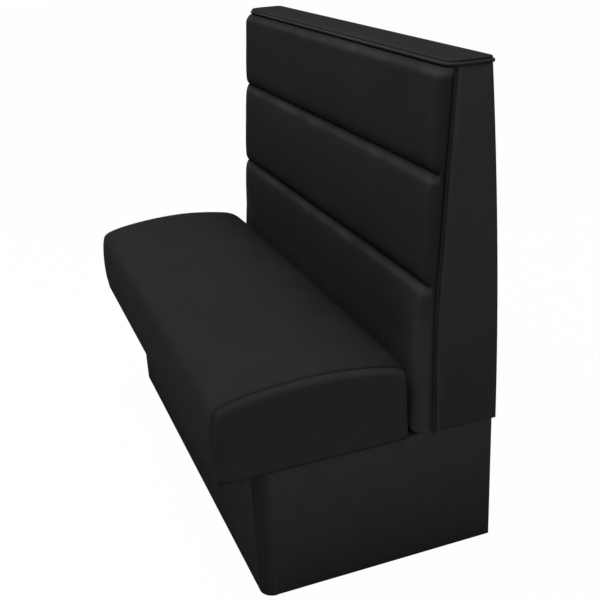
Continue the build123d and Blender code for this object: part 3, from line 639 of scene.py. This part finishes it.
def seat_outline(x, unit):
    """The wrap's outline at a place along the seat, as rows of (y, z). The seam draws it in,
    sharply in its last millimetres and gently further off, except at the foot."""
    from_seam = SEAM_X - abs(x)
    top = SEAT_SEAM_TOP + SEAT_CROWN * (1 - fade(from_seam, 75.0))
    line = np.empty_like(unit)
    line[:, 0] = FRONT_Y + (SEAT_REAR_Y - FRONT_Y) * unit[:, 0]
    line[:, 1] = SEAT_BOTTOM + (top - SEAT_BOTTOM) * unit[:, 1]
    pull = 2.4 * fade(from_seam, 1.3) + 1.8 * fade(from_seam, 12.0)
    hold = np.clip((line[:, 1] - SEAT_BOTTOM - 10.0) / 120.0, 0, 1)
    return line + inward(line) * (pull * hold)[:, None]


def seat_gathers(y, z):
    """Small gathers in the boxing that fan out from the seat's rear top corner."""
    past_y, past_z = y - (SEAT_REAR_Y - 14.0), z - (SEAT_SEAM_TOP - 26.0)
    fan = np.arctan2(past_z, past_y)
    return 0.8 * np.cos(9 * fan) * bell(np.hypot(past_y, past_z) - 16.0, 12.0)


def above_foot(heights):
    """0 near the seat's foot, and 1 well above it, where the seam's shadow shows."""
    return np.clip((heights - SEAT_BOTTOM - 50.0) / 80.0, 0, 1)


def billow_wrap(places, unit):
    """How far the simulated vinyl of the wrap stands out, at places along the seat. An even
    sheet is simulated, because the wrap's own points lie too close together at its seams."""
    across = np.linspace(-SEAM_X, SEAM_X, 116)
    along = np.linspace(0, len(unit) - 1, 75)
    coarse = between(along, np.arange(len(unit))) @ unit
    sheet = np.empty((len(across), len(along), 3))
    for i, x in enumerate(across):
        sheet[i, :, 0] = x
        sheet[i, :, 1:] = seat_outline(x, coarse)
    held = sheet[:, :, 2] < SEAT_BOTTOM + STAPLED_HEIGHT
    held[[0, -1]] = True
    return lay_over(billow(sheet, held, most=2.2), places, across, np.arange(len(unit)), along)


def seat_wrap(across, foot_y, unit):
    """The wrap's grid, the grid of the hollow underside, and the wrap's tones."""
    count = len(unit)
    wrap = np.empty((len(across), count, 3))
    under = np.empty_like(wrap)
    tones = np.empty((len(across), count))
    for i, x in enumerate(across):
        line = seat_outline(x, unit)
        from_seam = SEAM_X - abs(x)
        wrap[i, :, 0] = x
        wrap[i, :, 1:] = line
        under[i, :, 0] = x
        under[i, :, 1] = foot_y
        inside = (np.abs(x) < FRAME_X) & (foot_y > FRAME_FRONT_Y) & (foot_y < FRAME_REAR_Y)
        under[i, :, 2] = np.where(inside, DECK_TOP, SEAT_BOTTOM)
        under[i, 0, 1:] = line[0]
        under[i, -1, 1:] = line[-1]
        normals = inward(line)
        swell = 1 - fade(from_seam, 20.0)
        for j in range(4, count - 4):
            lift = 0.8 * wobble(x, line[j, 0], line[j, 1], size=110.0, seed=3.1)
            lift += 0.3 * wobble(x, line[j, 0], line[j, 1], size=36.0, seed=8.4)
            wrap[i, j, 1:] -= normals[j] * lift * swell
        # Painted shade in the seam, and painted shade darkening towards the rear, under the back
        tones[i] = -0.75 * bell(from_seam, 0.8) * above_foot(line[:, 1])
        tones[i] -= 0.45 * np.clip((line[:, 0] + 90.0) / 170.0, 0, 1) ** 1.5
    return wrap + billow_wrap(across, unit), under, tones


def boxing_panel(side, line, foot_y):
    """The grid and tones of the boxing panel at one end, from the seam down to the foot."""
    panel = np.empty((len(BOXING_SHARES), len(line), 3))
    tones = np.empty((len(BOXING_SHARES), len(line)))
    foot = np.stack([foot_y, np.full(len(line), SEAT_BOTTOM)], axis=1)
    high = above_foot(line[:, 1])
    upward = np.clip((line[:, 1] - 440.0) / 45.0, 0, 1)
    for r, share in enumerate(BOXING_SHARES):
        spots = line * (1 - share) + foot * share
        spots[0], spots[-1] = line[0], line[-1]
        gaps = np.linalg.norm(spots[:, None, :] - line[None, :, :], axis=2).min(axis=1)
        climb = spots[:, 1] - SEAT_BOTTOM
        # A quick swell beside the seam, flatter in the middle, and tucked in at the foot
        bulge = 7.6 * (1 - fade(gaps, 9.0)) - 1.4 * (1 - fade(gaps, 70.0))
        bulge += seat_gathers(spots[:, 0], spots[:, 1]) * (1 - fade(gaps, 3.0))
        bulge = np.minimum(bulge, END_X - SEAM_X)
        bulge *= (1 - 0.35 * fade(climb, 2.0)) * (share < 1)
        panel[r, :, 0] = side * (SEAM_X + bulge)
        panel[r, :, 1:] = spots
        # Painted shade in the seam, down the front edge and at the foot, and a painted highlight on
        # the upper roll
        forward = np.clip((-200.0 - spots[:, 0]) / 40.0, 0, 1) * (1 - upward)
        tones[r] = -0.75 * bell(gaps, 0.8) * high
        tones[r] -= 0.22 * bell(gaps - 14.0, 14.0) * forward
        tones[r] += 0.75 * bell(gaps - 7.0, 9.0) * upward
        tones[r] -= 1.5 * fade(climb, 3.2)
    return panel, tones


def make_seat_cushion(unit):
    foot_y = np.concatenate([
        np.linspace(FRONT_Y + 7, FRAME_FRONT_Y, 5),
        np.linspace(FRAME_FRONT_Y + 0.4, FRAME_REAR_Y - 0.4, len(unit) - 10),
        np.linspace(FRAME_REAR_Y, SEAT_REAR_Y, 5),
    ])
    across = np.concatenate([
        [step - SEAM_X for step in SEAM_STEPS],
        spread(-FRAME_X, FRAME_X, pitch=11.0, tight=2.5, reach=60.0),
        [SEAM_X - step for step in reversed(SEAM_STEPS)],
    ])
    wrap, under, wrap_tones = seat_wrap(across, foot_y, unit)
    line = seat_outline(SEAM_X, unit)
    panels, panel_tones = zip(*[boxing_panel(side, line, foot_y) for side, hand in HANDS])
    points, faces = join_grids(wrap, under, *panels)
    tones = [wrap_tones, np.zeros(under.shape[:2]), *panel_tones]
    cushion = make_piece(
        "seat_cushion", points, faces, seat_vinyl, np.concatenate([t.ravel() for t in tones])
    )
    weld(cushion)
    cushion.data.set_sharp_from_angle(angle=radians(65))
    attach(cushion, "seat")
    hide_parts("seat_cover", "seat_foam")


def make_seat_stitching(unit, side, hand):
    """The top-stitch beside an end seam, from the front's foot over to the rear's."""
    x = SEAM_X - 3.4
    line = seat_outline(x, unit)
    outward = -inward(line)
    kept = line[:, 1] > SEAT_BOTTOM + 24.0
    line = line[kept] + 0.15 * outward[kept]
    row = np.column_stack([np.full(len(line), side * x), line])
    ups = np.column_stack([np.zeros(len(line)), outward[kept]])
    sewn = make_piece(f"seat_stitching_{hand}", *stitches(row, ups), thread)
    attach(sewn, "seat")


seat_unit = smooth_line(SEAT_PROFILE, 150)
make_seat_cushion(seat_unit)
for side, hand in HANDS:
    make_seat_stitching(seat_unit, side, hand)


# The back's pad: three channels with a sewn groove between each two, and a roll at each end
PAD_FOOT_Z = 305.3
PAD_TOP_Z = 1052.7
PAD_CROWN = 30.5
PAD_GROOVE = 18.0
PAD_FOOT = 48.0
PAD_FOOT_ROLL = 18.0
PAD_TOP_ROLL = 24.0
PAD_END_ROLL = 27.0
PAD_SIDE_X = 583.7
PAD_END_X = PAD_SIDE_X - PAD_END_ROLL
PAD_REAR = 0.6
# Between these heights the pad thickens towards its foot
THIN_Z = 505.0
THICK_Z = 332.0
WELT_ROOM = 4.4
# How far it is from the side seam round the end roll to the flat of the pad
END_ARC = 44.0
# The simulated part of the upper channel ends here
BILLOW_TOP_Z = 1022.0
# The stitches in the grooves run this far to each side
SEWN_X = 556.0


def pad_crown(z):
    """How far the pad stands proud of its seam at a height, before its grooves are sewn in."""
    share = min(max((THIN_Z - z) / (THIN_Z - THICK_Z), 0.0), 1.0)
    return PAD_CROWN + (PAD_FOOT - PAD_CROWN) * share**1.2


def from_groove(z):
    """How far a height lies from the nearest groove."""
    return min(abs(z - groove) for groove in GROOVES)


def pad_dip(z, from_seam=200.0):
    """How deep the sewn grooves draw the pad in: wide along the middle, a crease at the ends."""
    distance = from_groove(z)
    wide = 0.3 + 0.7 * ease((from_seam - 14.0) / 40.0)
    near = 5.0 * (1 - wide) * fade(distance, 6.0)
    roll = (PAD_CROWN - PAD_GROOVE) * wide * fade(distance, 15.0)
    return roll + near + 3.5 * fade(distance, 2.2)


def pad_notch(z):
    """How far each groove's end draws the pad's side in."""
    distance = from_groove(z)
    return 3.4 * fade(distance, 6.0) + 1.2 * fade(distance, 40.0) - 1.0


def pucker(from_seam, z):
    """Small gathers that fan out where each groove ends, short of the side seam."""
    lift = 0.0
    for groove in GROOVES:
        along, rise = from_seam - 13.0, z - groove
        reach = sqrt(along**2 + rise**2)
        if reach < 60.0:
            fan = np.arctan2(rise, along + 1e-6)
            lift += 1.2 * cos(7 * fan + 0.6) * fade(reach, 14.0) * ease(reach / 6.0)
    return lift


def pad_tone(x, z, from_seam, groove_share):
    """Painted shade in the grooves, just above them and in the side seams. Painted highlights on the
    roll under each groove, where it ends, along the top, by each end, and low down near the ends."""
    uneven = 0.75 + 0.5 * wobble(x, 0.0, z, size=70.0, seed=9.3)
    tone = 0.65 * uneven * bell(PAD_TOP_Z - z - 10.0, 8.0)
    tone += 0.2 * uneven * bell(from_seam - END_ARC, 12.0)
    tone += 0.5 * ease((700.0 - z) / 200.0) * fade(max(from_seam - END_ARC, 0.0), 70.0)
    tone -= 0.9 * bell(from_seam, 4.0)
    for groove in GROOVES:
        below = groove - z
        tone += 0.65 * groove_share * uneven * bell(below - 13.0, 8.0)
        tone -= 0.8 * groove_share * bell(below + 1.5, 4.2)
        tone -= 0.35 * groove_share * bell(below + 12.0, 10.0)
        tone += 0.5 * bell(from_seam - 15.0, 6.0) * bell(below - 3.0, 5.0)
    return tone


def pad_line():
    """The pad's middle outline as (proud, height), from the rear of its foot to its top. Where
    proud is None, the crown and the grooves give it."""
    foot_front = PAD_FOOT - PAD_FOOT_ROLL
    line = [(PAD_REAR + (foot_front - PAD_REAR) * k / 6, PAD_FOOT_Z) for k in range(6)]
    for k in range(9):
        turn = radians(90 * k / 8)
        line.append((
            foot_front + PAD_FOOT_ROLL * sin(turn),
            PAD_FOOT_Z + PAD_FOOT_ROLL * (1 - cos(turn)),
        ))
    z = PAD_FOOT_Z + PAD_FOOT_ROLL
    top_front = PAD_TOP_Z - PAD_TOP_ROLL
    while z < top_front - 2:
        step = 0.9 + 7.0 * ease(from_groove(z) / 45.0)
        nearest = [g for g in GROOVES if z < g < z + step * 1.4]
        z = nearest[0] if nearest else z + step
        line.append((None, min(z, top_front)))
    brow = pad_crown(top_front)
    for k in range(1, 11):
        turn = radians(90 * k / 10)
        line.append((
            brow - PAD_TOP_ROLL * (1 - cos(turn)),
            top_front + PAD_TOP_ROLL * sin(turn),
        ))
    back = brow - PAD_TOP_ROLL
    line += [(back + (PAD_REAR - back) * k / 3, PAD_TOP_Z) for k in range(1, 4)]
    return line


def billow_pad(places, heights):
    """How far the simulated vinyl of the channels stands out, at places and heights of the pad."""
    across = np.linspace(-PAD_END_X, PAD_END_X, 140)
    up = np.concatenate([
        np.linspace(THICK_Z, GROOVES[0], 40), np.linspace(*GROOVES, 30)[1:],
        np.linspace(GROOVES[1], BILLOW_TOP_Z, 22)[1:],
    ])
    sheet = np.array([[(x, seam_y(z) - pad_crown(z) + pad_dip(z), z) for z in up] for x in across])
    held = np.ones((len(across), len(up)))
    held[1:-1, 1:-1] = np.isin(up[1:-1], GROOVES)
    return lay_over(billow(sheet, held, most=3.5), places, across, heights, up)


def make_back_pad():
    line = pad_line()
    count = len(line)
    # Each column is a place along the flat of the pad, or a turn round one of its end rolls,
    # which run 6 degrees past the side
    turns = np.radians(np.linspace(0, 96, 25))
    columns = [(0.0, turn, -1) for turn in turns[:0:-1]]
    columns += [
        (x, 0.0, 0) for x in spread(-PAD_END_X, PAD_END_X, pitch=11.0, tight=4.0, reach=60.0)
    ]
    columns += [(0.0, turn, 1) for turn in turns[1:]]
    places = [side * PAD_END_X if side else place for place, turn, side in columns]
    billowed = billow_pad(places, [z for proud, z in line])
    front = np.empty((len(columns), count, 3))
    rear = np.empty_like(front)
    tones = np.zeros((2, len(columns), count))
    # The end roll's section is a little squarer than a circle
    power = 2 / 2.25
    for i, (place, turn, side) in enumerate(columns):
        out = abs(sin(turn)) ** power if turn else 0.0
        keep = max(cos(turn), 0.0) ** power if turn else 1.0
        past = max(turn - pi / 2, 0.0)
        x = side * (PAD_END_X + PAD_END_ROLL * out - 22.0 * past) if side else place
        rear_x = side * (PAD_END_X + 20.0 * turn / turns[-1]) if side else place
        from_seam = END_ARC * (1 - 2 * turn / pi) if side else END_ARC + PAD_END_X - abs(x)
        groove_share = ease((from_seam - 5.0) / 12.0)
        draw = 9.0 * (1 - keep) ** 1.4
        for j, (proud, z) in enumerate(line):
            dip = 0.0
            if proud is None:
                proud = pad_crown(z)
                dip = pad_dip(z, from_seam) * groove_share
                z_draw = draw * (fade(z - PAD_FOOT_Z, 30.0) - fade(PAD_TOP_Z - z, 30.0))
            else:
                z_draw = draw if z < BEND_START else -draw
                z_draw *= ease(proud / 20.0)
            # Unevenness and gathers, clear of the foot's underside and of the top
            if 8 < j < count - 6:
                dip -= 0.7 * wobble(x, 0.0, z, size=130.0, seed=5.2)
                dip -= 0.3 * wobble(x, 0.0, z, size=45.0, seed=1.8)
                dip -= pucker(from_seam, z)
            base = min(WELT_ROOM, proud)
            stand = base + (proud - base) * keep - dip * keep
            height = z + z_draw
            notch = side * out * pad_notch(z)
            front[i, j] = (x - notch, seam_y(height) - stand, height)
            front[i, j] += billowed[i, j] * keep
            rear[i, j] = (rear_x, seam_y(height) - 0.3, height)
            tones[0, i, j] = pad_tone(x, height, from_seam, groove_share)
    pad = make_piece("back_pad", *slab(front, rear), pad_vinyl, tones)
    weld(pad)
    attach(pad, "booth")
    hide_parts("back_pad_cover", "back_foam_bottom", "back_foam_middle", "back_foam_top")


def make_pad_stitching(groove, name):
    """Stitches along the bottom of a groove."""
    proud = pad_crown(groove) - pad_dip(groove) + 0.6
    row = [(x, seam_y(groove) - proud, groove) for x in np.linspace(-SEWN_X, SEWN_X, 200)]
    sewn = make_piece(name, *stitches(row, [(0, -1, 0)] * len(row)), thread)
    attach(sewn, "booth")


make_back_pad()
for groove, level in zip(GROOVES, ("lower", "upper")):
    make_pad_stitching(groove, f"pad_stitching_{level}")


# Piping down both end seams of the back
END_PIPING_X = 579.5
END_PIPING_R = 3.9

for side, hand in HANDS:
    heights = np.linspace(BASE_TOP + 0.5, BACK_TOP - 0.3, 60)
    line = [(side * END_PIPING_X, seam_y(z), z) for z in heights]
    piping = tube(f"end_piping_{hand}", line, END_PIPING_R, piping_vinyl)
    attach(piping, "booth")
    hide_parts(f"end_welt_{hand}")


# Vinyl over the back's ends and outside, pulled round soft edges
END_PANEL_THICK = 4.0
OUTSIDE_THICK = 3.0
OUTSIDE_X = 580.0
# The covers' inner faces stand this far clear of the boards
BOARD_GAP = 0.05


def make_end_cover(side, hand):
    low, high = BASE_TOP + 0.2, BACK_TOP - 0.1
    heights = np.concatenate([
        low + np.array([0.0, 0.8, 1.8, 3.5]), np.linspace(low + 7, high - 7, 60),
        high - np.array([3.5, 1.8, 0.8, 0.0]),
    ])
    shares = np.concatenate([
        [0.0, 0.006, 0.014, 0.026, 0.042, 0.065, 0.1, 0.15],
        np.linspace(0.22, 0.93, 8), [0.96, 0.98, 0.992, 1.0],
    ])
    outer = np.empty((len(heights), len(shares), 3))
    inner = np.empty_like(outer)
    tones = np.zeros((2, len(heights), len(shares)))
    board_x = END_X - END_PANEL_THICK
    for i, z in enumerate(heights):
        near, far = seam_y(z) + 3.1, outside_y(z)
        for k, share in enumerate(shares):
            y = near + (far - near) * share
            gap = min(far - y, z - low, high - z)
            # Thinner at its edges and thinnest beside the piping
            out = END_PANEL_THICK - 2.2 * fade(gap, 1.6) - 2.6 * fade(y - near, 2.8)
            out += 0.5 * wobble(0.0, y, z, size=120.0, seed=6.0 + side) * (1 - fade(gap, 25.0))
            outer[i, k] = (side * (board_x + min(max(out, 0.3), END_PANEL_THICK)), y, z)
            inner[i, k] = (side * (board_x + BOARD_GAP), y, z)
            # Painted shade against the piping and at the foot, with a painted highlight line 6 mm
            # from the piping, and painted light growing towards the top
            tones[0, i, k] = 0.25 * bell(y - near - 6.0, 4.0)
            tones[0, i, k] -= 0.9 * fade(y - near, 1.5) + 0.5 * fade(z - low, 2.0)
            tones[0, i, k] += 0.35 * (z - 700.0) / 350.0
    cover = make_piece(f"end_panel_{hand}", *slab(outer, inner), end_vinyl, tones)
    weld(cover)
    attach(cover, "booth")
    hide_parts(f"end_cover_{hand}")


def make_outside_cover():
    low, high = BASE_TOP + 0.2, BACK_TOP - 0.1
    rows, columns, edge = 60, 80, 2.5
    heights = np.concatenate([[low], np.linspace(low + edge, high - edge, rows - 2), [high]])
    flat = np.linspace(edge - OUTSIDE_X, OUTSIDE_X - edge, columns - 2)
    places = np.concatenate([[-OUTSIDE_X], flat, [OUTSIDE_X]])
    outer = np.empty((rows, columns, 3))
    inner = np.empty_like(outer)
    tones = np.zeros((2, rows, columns))
    for i, z in enumerate(heights):
        board_y = outside_y(z) - OUTSIDE_THICK
        for k, x in enumerate(places):
            gap = min(OUTSIDE_X - abs(x), z - low, high - z)
            # Painted shade along the cover's rolled edges, against a slightly paler middle
            tones[0, i, k] = 0.3 - 0.9 * fade(gap, 3.0)
            slack = 0.5 * (0.5 + 0.5 * wobble(x, 0.0, z, size=160.0, seed=2.2))
            out = OUTSIDE_THICK - 1.8 * fade(gap, 1.6) - slack * (1 - fade(gap, 30.0))
            outer[i, k] = (x, board_y + out, z)
            inner[i, k] = (x, board_y + BOARD_GAP, z)
    cover = make_piece("outside_back", *slab(outer, inner), end_vinyl, tones)
    weld(cover)
    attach(cover, "booth")
    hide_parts("outside_back_cover")


for side, hand in HANDS:
    make_end_cover(side, hand)
make_outside_cover()


# The cap: a thin padded top with rounded corners, and piping round its lower edge
CAP_FRONT_Y = seam_y(BACK_TOP) - 14.0
CAP_REAR_Y = outside_y(BACK_TOP) + 5.0
CAP_FRONT_R = 28.0
CAP_REAR_R = 15.0
# Each long side: its place, the way inwards, and the radius of its corners
CAP_SIDES = ((CAP_FRONT_Y, 1, CAP_FRONT_R), (CAP_REAR_Y, -1, CAP_REAR_R))
CAP_EDGE = 4.0
CAP_CROWN = 1.0
CAP_PIPING_Z = 1056.8
CAP_PIPING_R = 3.4
CAP_PIPING_OUT = 0.8


def cap_gap(x, y):
    """How far a spot on the cap lies inside its outline."""
    gaps = [END_X - abs(x), y - CAP_FRONT_Y, CAP_REAR_Y - y]
    for line, inwards, radius in CAP_SIDES:
        past_x = abs(x) - (END_X - radius)
        past_y = inwards * (line - y) + radius
        if past_x > 0 and past_y > 0:
            gaps.append(radius - sqrt(past_x**2 + past_y**2))
    return max(min(gaps), 0.0)


def cap_limits(x):
    """The cap's front and rear at a place along it, round its corners."""
    limits = []
    for line, inwards, radius in CAP_SIDES:
        past = min(max(abs(x) - (END_X - radius), 0.0), radius)
        limits.append(line + inwards * (radius - sqrt(radius**2 - past**2)))
    return limits


def make_cap():
    corner = END_X - CAP_FRONT_R + CAP_FRONT_R * np.sin(np.radians(np.linspace(0, 90, 19)))
    across = np.concatenate([-corner[::-1], np.linspace(-corner[0], corner[0], 92)[1:-1], corner])
    edge_shares = np.array([0.0, 0.003, 0.008, 0.016, 0.028, 0.045, 0.075, 0.12, 0.19, 0.28, 0.38])
    shares = np.concatenate([edge_shares, [0.5], 1 - edge_shares[::-1]])
    upper = np.empty((len(across), len(shares), 3))
    lower = np.empty_like(upper)
    tones = np.zeros((2, len(across), len(shares)))
    edge_z = CAP_TOP - 1.2 - CAP_EDGE
    for i, x in enumerate(across):
        front, rear = cap_limits(x)
        for j, share in enumerate(shares):
            y = front + (rear - front) * share
            gap = cap_gap(x, y)
            roll = CAP_EDGE * sqrt(1 - (1 - min(gap / CAP_EDGE, 1.0)) ** 2)
            z = edge_z + roll + CAP_CROWN * (1 - fade(gap, 12.0))
            z += 0.2 * wobble(x, y, 0.0, size=60.0, seed=4.4) * ease(gap / 10.0)
            upper[i, j] = (x, y, min(z, CAP_TOP))
            lower[i, j] = (x, y, BACK_TOP + 0.1)
            # Painted shade against the piping, and a painted highlight line on the roll of the edge
            tones[0, i, j] = 0.1 - 0.4 * fade(gap, 0.8) + 0.4 * bell(gap - 2.5, 1.8)
    cap = make_piece("cap_pad", *slab(upper, lower), cap_vinyl, tones)
    weld(cap)
    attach(cap, "booth")
    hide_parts("cap_cover")


def cap_outline(outward, steps=12):
    """The cap's plan as a closed loop, pushed outward."""
    loop = []
    front, rear = CAP_SIDES
    corners = ((1, front), (1, rear), (-1, rear), (-1, front))
    for corner, (side, (line, inwards, radius)) in enumerate(corners):
        middle_x, middle_y = side * (END_X - radius), line + inwards * radius
        for k in range(steps + 1):
            turn = radians(90 * (corner - 1 + k / steps))
            reach = radius + outward
            loop.append((middle_x + reach * cos(turn), middle_y + reach * sin(turn)))
    return loop


make_cap()
cap_loop = [(x, y, CAP_PIPING_Z) for x, y in cap_outline(CAP_PIPING_OUT)]
cap_piping = tube("cap_piping", cap_loop, CAP_PIPING_R, piping_vinyl, closed=True)
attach(cap_piping, "booth")
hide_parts("cap_welt")


# Cloths over and under the seat's springs, stapled to the frame 1 mm inside its edges
def make_cloth(name, replaced, top_z, thickness, sag):
    low_x, high_x = 1 - FRAME_X, FRAME_X - 1
    low_y, high_y = FRAME_FRONT_Y + 1, FRAME_REAR_Y - 1
    columns, rows = 60, 24
    top = np.empty((columns, rows, 3))
    under = np.empty((columns, rows, 3))
    for i, x in enumerate(np.linspace(low_x, high_x, columns)):
        for j, y in enumerate(np.linspace(low_y, high_y, rows)):
            share = sin(pi * i / (columns - 1)) * sin(pi * j / (rows - 1))
            z = top_z - sag * share * (0.7 + 0.3 * wobble(x, y, 0.0, size=70.0, seed=1.4))
            top[i, j] = (x, y, z)
            under[i, j] = (x, y, z - thickness)
    cloth = make_piece(name, *slab(top, under), black_cloth)
    weld(cloth)
    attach(cloth, "seat")
    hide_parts(replaced)


make_cloth("spring_cloth", "deck_cloth", top_z=378.9, thickness=0.8, sag=0.6)
make_cloth("dust_cloth", "seat_dust_cover", top_z=306.25, thickness=0.5, sag=0.3)


# Floor, world and lamps
def background_rays(tree):
    """1 for the rays that should see the white background: camera, glossy and transmission."""
    path = node(tree, "ShaderNodeLightPath", {}).outputs
    first = node(
        tree, "ShaderNodeMath", {0: path["Is Camera Ray"], 1: path["Is Glossy Ray"]},
        operation="MAXIMUM",
    ).outputs[0]
    return node(
        tree, "ShaderNodeMath", {0: first, 1: path["Is Transmission Ray"]}, operation="MAXIMUM"
    ).outputs[0]


# White studio paper, matt. The camera sees it as nearly pure white, with 1.5% left for the
# object's shadow.
def make_floor(reach, white_share):
    mesh = bpy.data.meshes.new("floor")
    corners = [(-reach, -reach, 0), (reach, -reach, 0), (reach, reach, 0), (-reach, reach, 0)]
    mesh.from_pydata(corners, [], [(0, 1, 2, 3)])
    material = bpy.data.materials.new("floor_paper")
    material.use_nodes = True
    tree = material.node_tree
    tree.nodes.clear()
    paper = node(tree, "ShaderNodeBsdfDiffuse", {"Color": linear("#f4f4f4")}).outputs[0]
    glow = node(tree, "ShaderNodeEmission", {"Color": (1, 1, 1, 1), "Strength": 1.0}).outputs[0]
    share = node(
        tree, "ShaderNodeMath", {0: background_rays(tree), 1: white_share}, operation="MULTIPLY"
    ).outputs[0]
    mixed = node(tree, "ShaderNodeMixShader", {0: share, 1: paper, 2: glow}).outputs[0]
    node(tree, "ShaderNodeOutputMaterial", {"Surface": mixed})
    mesh.materials.append(material)
    add_object("floor", mesh)


def make_world(ambient):
    world = bpy.data.worlds.new("studio")
    world.use_nodes = True
    tree = world.node_tree
    tree.nodes.clear()
    strength = node(
        tree, "ShaderNodeMapRange",
        {"Value": background_rays(tree), "To Min": ambient, "To Max": 1.0},
    ).outputs["Result"]
    backdrop = node(
        tree, "ShaderNodeBackground", {"Color": (1, 1, 1, 1), "Strength": strength}
    ).outputs[0]
    node(tree, "ShaderNodeOutputWorld", {"Surface": backdrop})
    bpy.context.scene.world = world


def make_lamp(name, place, aim, size, power):
    lamp = bpy.data.lights.new(name, "AREA")
    lamp.shape = "RECTANGLE"
    lamp.size, lamp.size_y = size
    lamp.energy = power
    holder = add_object(name, lamp)
    holder.location = place
    holder.rotation_euler = (Vector(aim) - Vector(place)).to_track_quat("-Z", "Y").to_euler()


make_floor(reach=14.0, white_share=0.985)
make_world(ambient=0.26)
make_lamp("top_box", (-0.2, -0.8, 3.2), aim=(0, 0, 0.5), size=(1.8, 1.4), power=62)
make_lamp("front_box", (-0.4, -3.4, 1.7), aim=(0, 0, 0.5), size=(2.4, 1.6), power=3)
make_lamp("side_box", (3.6, -0.6, 1.8), aim=(0.4, 0, 0.5), size=(1.6, 1.6), power=15.6)
make_lamp("rear_box", (-0.8, 3.4, 2.0), aim=(0, 0.3, 0.6), size=(2.0, 1.6), power=15)

scene = bpy.context.scene
scene.view_settings.view_transform = "Standard"
